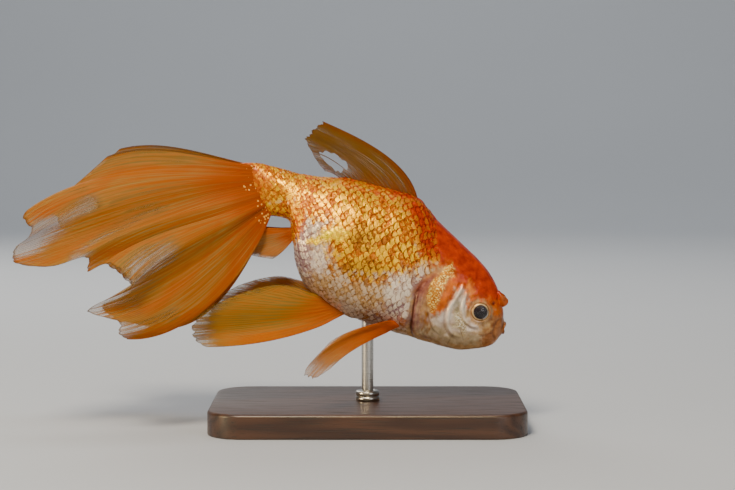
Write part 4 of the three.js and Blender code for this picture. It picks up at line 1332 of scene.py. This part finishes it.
# %% Bands and windows of the tail
TAIL_BANDS = [  # a line in the side view, its half width and its strength
    ([(-34, 84.8), (-48.7, 85.0), (-63.7, 85.4), (-75.7, 84.8), (-83, 82.6), (-90, 79.8), (-96, 77.0),
      (-101, 74.0), (-105, 70.5)], 2.6, 0.7),
    ([(-63.7, 77.1), (-74.5, 71.7), (-84.1, 66.9), (-92, 62.7), (-99.8, 59.0), (-107, 57.0),
      (-115.4, 55.8)], 1.5, 0.6),
    ([(-51.7, 71.7), (-60.7, 67.5), (-69.7, 63.6), (-75.7, 61.5), (-84.1, 57.9), (-91.4, 54.3)], 1.5, 0.5),
    ([(-33.7, 71.1), (-39.7, 62.7), (-43.8, 54.9), (-47.4, 47.1), (-52.2, 41), (-58.9, 36.0), (-66.1, 32.6),
      (-76.9, 32.0)], 3.0, 0.85),
    ([(-48.7, 68.1), (-52.9, 57.9), (-58.9, 50.1), (-64.9, 44.6), (-73.3, 42.3), (-83, 40.4)], 2.0, 0.6),
]
TAIL_WINDOWS = [  # a line in the side view, its half width and how clear it is
    ([(-92, 75.5), (-99, 70.5), (-106, 64.5), (-113, 60.5)], 4.4, 1.1),
    ([(-68, 73.0), (-77, 69.5), (-86, 63.5), (-95, 58.8)], 2.4, 0.90),
    ([(-60, 80.5), (-72, 78.5), (-82, 74.0)], 1.8, 0.50),
    ([(-66, 60.5), (-73, 53.5), (-79, 50.0)], 5.5, 0.90),
    ([(-64, 38.4), (-72, 36.4), (-80, 34.6)], 2.4, 0.90),
    ([(-76, 43.4), (-85, 41.4), (-93, 39.5)], 3.6, 1.0),
]
print("the tail has", len(TAIL_BANDS), "bands and", len(TAIL_WINDOWS), "windows")


# %% Tint of the tail
def square_to_rim(points):
    """How squarely the rays meet the rim, from 0 to 1, where points has the last rows of a fin."""
    rim, ray = unit(np.gradient(points[-1], axis=0)), unit(points[-1] - points[-2])
    return np.linalg.norm(np.cross(rim, ray), axis=-1)[None, :]


def tail_tint(u, v, points):
    """How orange and how clear each place of the tail is."""
    orange = np.maximum(soft_step(0.46, 0.10, u), 0.42 * soft_step(0.78, 0.40, u))
    clear = 0.05 + 0.30 * soft_step(0.75, 1.0, u) * square_to_rim(points) ** 2
    x, z = (points[..., axis] + 1.1 * ripple(points, 14.0, seed) for axis, seed in ((0, 71), (2, 72)))
    for line, width, strength in TAIL_BANDS:
        orange = np.maximum(orange, strength * bump(near_line(x, z, line, reach=12.0)[0], width))
    for line, width, strength in TAIL_WINDOWS:
        away = near_line(x, z, line, reach=12.0)[0]
        clear = np.maximum(clear, strength * soft_step(2.0 * width, 0.1 * width, away))
    clear = clear * (1 - 0.75 * orange * soft_step(1.0, 0.9, u))
    top_margin = soft_step(0.085, 0.03, v) * soft_step(0.25, 0.45, u)
    return orange * (1 - 0.8 * top_margin), np.maximum(clear, 0.5 * top_margin)


near_rim = fin_points("tail_right", *np.meshgrid([0.99, 1.0], np.linspace(0, 2, 200), indexing="ij"))
print("where 1 is square, the tail's rays meet its rim at", square_to_rim(near_rim).mean().round(2))

# %% Tint of all fins
def fin_tint(kind, u, v, points):
    """How orange and how clear each place of a fin is, where v runs from 0 to 1 across it."""
    if kind == "tail":
        return tail_tint(u, v, points)
    if kind == "pelvic":
        orange = np.maximum(soft_step(0.55, 0.1, u), soft_step(0.42, 0.05, v) * soft_step(1.0, 0.6, u))
        at_rim = 0.8 * soft_step(0.74, 1.0, u)
        clear = np.maximum(0.46 * soft_step(0.5, 0.9, v) * soft_step(0.1, 0.5, u), at_rim)
        clear = np.maximum(clear, 0.18)
    elif kind == "pectoral":
        orange = soft_step(0.9, 0.4, u)
        clear = 0.9 * soft_step(0.6, 1.0, u)
    elif kind == "dorsal":
        orange = np.maximum(soft_step(0.14, 0.05, v), 0.8 * soft_step(0.35, 0.0, u))
        clear = 0.32 + 0.45 * soft_step(0.45, 0.8, v) * soft_step(0.1, 0.4, u)
    else:
        orange = np.maximum(soft_step(0.35, 0.1, v), soft_step(0.5, 0.1, u))
        clear = 0.25 + 0.6 * soft_step(0.7, 1.0, u)
    return orange, clear * (1 - 0.8 * orange)


print("the rim of a pectoral fin is", fin_tint("pectoral", 1.0, 0.5, None)[1].round(2), "clear")

# %% [markdown]
# ## The fins' material
#
# The web is so thin that light passes through it, and the orange sits mostly along the rays and near
# the root, so the rim is nearly clear glass. Opacity comes from the same ray pattern as the shape. Light
# that enters on the far side comes out on this one, which subsurface scattering does on a closed thin
# mesh. The tail also has gold spangles near its root, like the scales of the stalk beside it.

# %% Rays and spangles in nodes
SPANGLE_CELL = 1.1  # millimetres


def ray_nodes(add, u, v, rays):
    """The same folding of v as from_ray, in nodes."""
    part = add("Math FRACT", add("Math MULTIPLY", v, float(rays)))
    away = add("Math ABSOLUTE", add("Math SUBTRACT", part, 0.5))
    for begins, done, spread in BRANCHINGS:
        opened = add("MapRange SMOOTHSTEP", u, begins, done, 0.0, spread)
        away = add("Math ABSOLUTE", add("Math SUBTRACT", away, opened))
    return away


def root_spangles(add, u, wide):
    """Small round flecks, crowded near the root, as a number between 0 and 1."""
    cells = add("TexVoronoi", add("TexCoord", out="Object"), Scale=per(SPANGLE_CELL))
    speck = add("Math ADD", cells, add("Math MULTIPLY", wide, 0.35))
    speck = add("MapRange", speck, 0.42, 0.56, 1.0, 0.0)
    near_root = add("MapRange", u, 0.04, 0.14, 0.66, -0.05)
    chosen = add("Math LESS_THAN", cells.node.outputs["Color"], near_root)
    return add("Math MULTIPLY", speck, chosen)


print("a spangle's cell is", SPANGLE_CELL, "mm wide")


# %% Fin materials
def fin_material(kind, rays, root, deep, mid, pale, dark):
    """A web on rays: its own colour at the root, deep in the bands and on the rays, mid in the web, pale
    where it is clear and dark along the rim."""
    material, add = new_material(f"{kind} fin, web on bony rays")
    u, v, solid = add("SeparateXYZ", add("Attribute fan", out="Vector")).node.outputs
    orange, clear, rim_line = add("SeparateXYZ", add("Attribute tint", out="Vector")).node.outputs
    streak, wide = [
        add("TexNoise", add("CombineXYZ", add("Math MULTIPLY", u, along), add("Math MULTIPLY", v, across)),
            1.0, detail, roughness)
        for along, across, detail, roughness in ((1.3, 64.0, 5.0, 0.7), (2.2, 9.0, 3.0, 0.5))]
    bone = add("Math DIVIDE", ray_nodes(add, u, v, rays), add("MapRange", u, 0.0, 1.0, 0.17, 0.028))
    bone = add("MapRange SMOOTHSTEP", bone, 0.5, 1.3, 1.0, 0.0)
    thinner = add("Math ADD", add("MapRange", streak, 0.35, 0.65, -0.48, 0.36),
                  add("MapRange", wide, 0.3, 0.7, -0.22, 0.22))
    worn = add("Math MULTIPLY", thinner, add("MapRange", clear, 0.0, 0.3, 0.0, 1.0))
    open_web = add("Math ADD", clear, worn, use_clamp=True)
    pigment = add("Math ADD", orange, add("Math MULTIPLY", thinner, -0.9), use_clamp=True)

    colour = add("Mix RGBA", add("MapRange", streak, 0.34, 0.66, 0.0, 0.75), mid, pale)
    rich = add("Mix RGBA", add("MapRange", u, 0.12, 0.5), root, deep)
    edge = add("Math MULTIPLY", rim_line, 0.75)
    for share, tone in ((pigment, rich), (add("Math MULTIPLY", bone, 0.5), rich),
                        (add("Math MULTIPLY", open_web, 0.5), pale), (edge, dark)):
        colour = add("Mix RGBA", share, colour, tone)
    if kind == "tail":
        colour = add("Mix RGBA", root_spangles(add, u, wide), colour, "#FFC058")

    thread = add("Math MULTIPLY", bone, add("MapRange", open_web, 0.0, 1.0, 0.42, 0.08))
    cover = add("Math ADD", add("MapRange", open_web, 0.0, 1.0, 0.95, 0.20), thread)
    for share in (solid, edge):
        cover = add("Math MAXIMUM", cover, share, use_clamp=True)
    fine = add("Bump", Height=bone, Strength=0.5, Distance=0.12 * MM)
    rough = add("MapRange", streak, 0.0, 1.0, 0.50, 0.70)
    add("OutputMaterial", add("BsdfPrincipled", Base_Color=colour, Alpha=cover, Normal=fine, Roughness=rough,
                              IOR=FLESH_IOR, Specular_IOR_Level=0.08, Subsurface_Weight=0.3,
                              Subsurface_Radius=(1.0, 0.6, 0.3), Subsurface_Scale=0.8 * MM))
    return material


fin_materials = {kind: fin_material(kind, fin.rays, *fin.colours) for kind, fin in KINDS.items()}
print("the tail's material has", len(fin_materials["tail"].node_tree.nodes), "nodes")

# %% [markdown]
# A fin's mesh is its middle surface moved out to both sides, with a wall along every open edge. The
# dorsal fin is torn: an old tear has left a ragged hole near its hind end, with one ray still across it.

# %% The dorsal fin's tear
TEAR_FROM, TEAR_TO = 0.61, 0.87
TEAR_ROOT, TEAR_TIP = 0.40, 0.86
STRAND_AT, STRAND_HALF_WIDTH = 0.73, 0.008


def torn_away(u, v):
    """True for the quads of the dorsal fin's grid that the tear has taken."""
    middle_u = (u[1:, 1:] + u[:-1, :-1]) / 2
    middle_v = (v[1:, 1:] + v[:-1, :-1]) / 2
    up = (middle_u - (TEAR_ROOT + TEAR_TIP) / 2) / ((TEAR_TIP - TEAR_ROOT) / 2)
    across = (middle_v - (TEAR_FROM + TEAR_TO) / 2) / ((TEAR_TO - TEAR_FROM) / 2)
    torn = np.hypot(up, across / (1 - 0.45 * up)) < 1 + 0.10 * np.sin(9 * up + 4 * across)
    return (torn & (np.abs(middle_v - STRAND_AT) > STRAND_HALF_WIDTH)).ravel()


print("the tear runs from", TEAR_ROOT, "to", TEAR_TIP, "of the way from root to rim")

# %% Rim and thickness of a fin
WEB_HALF, RAY_HALF, LEADING_HALF = 0.10, 0.11, 0.30  # half thicknesses in millimetres


def ragged_rim(name, rays, across, columns):
    """How far the rim runs out or in at each column, as a share of the fin's length."""
    dice = np.random.default_rng(sum(map(ord, name)))
    fringe = np.zeros(columns)
    for waves, amount in ((3, 0.008), (9, 0.010), (rays * across * 2, 0.0035), (rays * across * 4, 0.0015)):
        fringe += amount * np.sin(2 * math.pi * (waves * np.linspace(0, 1, columns) + dice.random()))
    return fringe


def fin_thickness(u, v, across, rays, flesh):
    """Half the thickness of a fin, and the part of it that the stiff leading edge adds."""
    bone = np.exp(-((from_ray(u, v, rays) / (0.19 - 0.15 * u)) ** 2))
    edge_thin = soft_step(0, 0.02, u) * soft_step(1.0, 0.95, u)
    sides_thin = soft_step(0, 0.02 * across, np.minimum(v, across - v))
    half = (WEB_HALF + RAY_HALF * bone * (1.15 - u)) * (0.45 + 0.55 * edge_thin * sides_thin)
    half += flesh * soft_step(0.20, 0.02, u) * np.sqrt(np.maximum(1 - (2 * v / across - 1) ** 2, 0.02))
    leading = bump(v, 0.05 * across) * (LEADING_HALF * (1 - u))
    return half + leading, leading


print("the web is", 2 * WEB_HALF, "mm thick")


# %% Making the fins
def make_fin(name):
    """A closed sheet with standing rays, a ragged rim and a fleshy root."""
    kind, _, side = name.partition("_")
    fin = KINDS[kind]
    rows, columns = fin.grid
    across = GUIDES[name][-1][0]
    u, v = np.meshgrid(np.linspace(0, 1, rows), np.linspace(0, across, columns), indexing="ij")
    fringe = ragged_rim(name, fin.rays, across, columns)
    fringe = fringe * square_to_rim(fin_points(name, u[-2:], v[-2:])) ** 2
    spot = across / 2 + (v - across / 2) * (1 - fin.narrow * soft_step(0.24, 0.03, u))
    middle = fin_points(name, u * (1 + u**6 * (fringe - 0.01)), spot)
    normal = unit(np.cross(np.gradient(middle, axis=0), np.gradient(middle, axis=1)))
    half, leading = fin_thickness(u, v, across, fin.rays, fin.flesh)

    quads = grid_faces(rows, columns)
    if kind == "dorsal":
        quads = quads[~torn_away(u, v)]
    count = rows * columns
    offset = normal * half[..., None]
    points = np.concatenate([middle + offset, middle - offset]).reshape(-1, 3)
    edges = np.concatenate([quads[:, [k, (k + 1) % 4]] for k in range(4)])
    a, b = edges.T
    a, b = edges[~np.isin(a * count + b, b * count + a)].T
    faces = np.concatenate([quads, quads[:, ::-1] + count, np.stack([b, a, a + count, b + count], -1)])
    if side == "left":
        faces = faces[:, ::-1]

    flat = np.stack([0.02 + 0.46 * v / across, 0.02 + 0.96 * u], -1).reshape(-1, 2)
    flat = np.concatenate([flat, flat + [0.5, 0]])
    side_rim = soft_step(0.014, 0.004, v / across)
    rim_line = np.maximum(0.8 * soft_step(0.982, 0.997, u), side_rim) * soft_step(0.05, 0.2, u)
    fan = np.stack([u, v, 0.85 * leading / LEADING_HALF], -1).reshape(-1, 3)
    tint = np.stack([*fin_tint(kind, u, v / across, middle), rim_line], -1).reshape(-1, 3)
    fields = {"fan": np.concatenate([fan, fan]), "tint": np.concatenate([tint, tint])}
    nodes = [f"{kind}_fin_{side}".strip("_")]
    if kind == "tail":
        nodes = [f"tail_fin_{side}_{lobe}" for lobe in ("upper", "lower")]
    material = fin_materials[kind]
    make_piece(name + "_web", points, faces.tolist(), material, nodes, flat[faces.ravel()], fields)


for name in GUIDES:
    make_fin(name)

# %% [markdown]
# ## The stand
#
# A museum carries such a model on a small board with one rod. The board is walnut, sawn along the grain,
# planed, rounded over and oiled, and the rod and its ferrule are ground steel. Board and steel are made
# as an outline carried up a profile of small steps, so every edge is softly broken, as on real work.

# %% Walnut board
BASE_LENGTH, BASE_WIDTH, BASE_THICKNESS, BASE_CORNER, ROUND_OVER = 104.0, 66.0, 8.0, 12.0, 1.0
CORNER_STEPS = 14
BOARD_ROUND = 4 * (CORNER_STEPS + 1)
TOP_INSETS = (2.5, 6.0)  # two more rings on the flat top, so that its faces stay even


def board_outline(inset):
    """A rectangle with round corners, moved inwards."""
    corner = BASE_CORNER - inset
    points = []
    for sx, sy, first in ((1, 1, 0), (-1, 1, 1), (-1, -1, 2), (1, -1, 3)):
        cx, cy = sx * (BASE_LENGTH / 2 - BASE_CORNER), sy * (BASE_WIDTH / 2 - BASE_CORNER)
        for k in range(CORNER_STEPS + 1):
            angle = math.pi / 2 * (first + k / CORNER_STEPS)
            points.append((cx + corner * math.cos(angle), cy + corner * math.sin(angle)))
    return np.array(points)


quarter = [(1 - math.sin(a), 1 - math.cos(a)) for a in np.linspace(0, math.pi / 2, 9)]
profile = [(ROUND_OVER * 0.5 * s, ROUND_OVER * 0.5 * c) for s, c in quarter]
profile += [(ROUND_OVER * c, BASE_THICKNESS - ROUND_OVER * s) for s, c in quarter]
profile += [(inset, BASE_THICKNESS) for inset in TOP_INSETS]
rings = [np.column_stack([board_outline(inset), np.full(BOARD_ROUND, height)]) for inset, height in profile]
board_points = np.concatenate(rings + [[[0, 0, 0]], [[0, 0, BASE_THICKNESS]]])
board_faces = grid_faces(len(profile), BOARD_ROUND, closed=True).tolist()
count = len(profile) * BOARD_ROUND
board_faces += fan_faces(count, 0, BOARD_ROUND, reverse=True)
board_faces += fan_faces(count + 1, count - BOARD_ROUND, BOARD_ROUND)
print("the board is", len(profile), "rings of", BOARD_ROUND, "points")

# %% [markdown]
# Flat-sawn walnut shows long arches of dark and light wood from the yearly rings, about 3 mm apart, with
# fine dark pores along the grain. Rings cut by a plane are a wave that a slow noise bends, and the pores
# are a noise stretched about thirty times along the board.

# %% Walnut material
YEAR_SPACING = 3.2
RING_BEND = 9.0  # how many years the slow noise bends the rings by

walnut_oiled, add = new_material("walnut, planed and oiled")
place = add("TexCoord", out="Object")
bent = add("TexNoise", add("Mapping", place, Scale=(0.10, 1.0, 1.0)), per(22.0), 3.0)
pore = add("TexNoise", add("Mapping", place, Scale=(0.03, 1.0, 1.0)), per(0.45), 2.0)
pore = add("MapRange", pore, 0.56, 0.68)
across_board = add("SeparateXYZ", place).node.outputs[1]
years = add("Math ADD", add("Math MULTIPLY", across_board, per(YEAR_SPACING)),
            add("Math MULTIPLY", bent, RING_BEND))
year = add("MapRange", add("Math SINE", add("Math MULTIPLY", years, 2 * math.pi)), -1.0, 1.0)
colour = add("Mix RGBA", year, "#3B2417", "#5A3A25")
colour = add("Mix RGBA", add("MapRange", bent, 0.3, 0.7, 0.0, 0.5), colour, "#4A2E1E")
colour = add("Mix RGBA", add("Math MULTIPLY", pore, 0.7), colour, "#1E120C")
rough = add("MapRange", pore, 0.0, 1.0, 0.36, 0.6)
sunk = add("Bump", Height=pore, Strength=0.3, Distance=-0.08 * MM)
add("OutputMaterial", add("BsdfPrincipled", Base_Color=colour, Roughness=rough, Normal=sunk,
                          Coat_Weight=0.12, Coat_Roughness=0.3))
make_piece("stand_board", board_points, board_faces, walnut_oiled, ["stand_base"])

# %% [markdown]
# The ferrule is a turned steel collar with a broken edge and one groove, and the rod runs from it into
# the belly. Both were ground while turning, so they carry fine rings around them, 0.1 mm apart in truth
# and 0.35 mm here.

# %% Steel material
steel_ground, add = new_material("stainless steel, ground round")
marks = add("Mapping", add("TexCoord", out="Object"), Scale=(0.06, 0.06, 1.0))
marks = add("TexNoise", marks, per(0.35), 2.0)
rough = add("MapRange", marks, 0.0, 1.0, 0.22, 0.38)
lines = add("Bump", Height=marks, Strength=0.2, Distance=0.03 * MM)
colour = add("Mix RGBA", marks, "#A8A6A2", "#C6C4C0")
add("OutputMaterial", add("BsdfPrincipled", Base_Color=colour, Metallic=1.0, Roughness=rough, Normal=lines))
print("the steel's material has", len(steel_ground.node_tree.nodes), "nodes")

# %% Steel rod and ferrule
FERRULE_BOTTOM, FERRULE_TOP, FERRULE_RADIUS, ROD_RADIUS = 8.0, 11.3, 4.0, 2.0
ROD_FOOT, ROD_INTO_BELLY = 10.5, 1.5

ferrule = [(FERRULE_RADIUS, FERRULE_BOTTOM), (FERRULE_RADIUS, 9.3), (3.8, 9.4), (3.8, 9.6),
           (FERRULE_RADIUS, 9.7), (FERRULE_RADIUS, 10.8), (3.85, 11.05), (3.55, 11.25),
           (3.2, FERRULE_TOP), (2.3, FERRULE_TOP), (2.1, 11.1)]
rod_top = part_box("stand_rod")[1].z / MM + ROD_INTO_BELLY
rod = [(ROD_RADIUS, z) for z in np.linspace(ROD_FOOT, rod_top, 24)]
for name, outline, node in (("stand_collar", ferrule, "stand_ferrule"), ("stand_pin", rod, "stand_rod")):
    points, faces = turned(outline[::-1], np.zeros(3), (0, 0, 1), 48)
    make_piece(name, points, faces, steel_ground, [node])
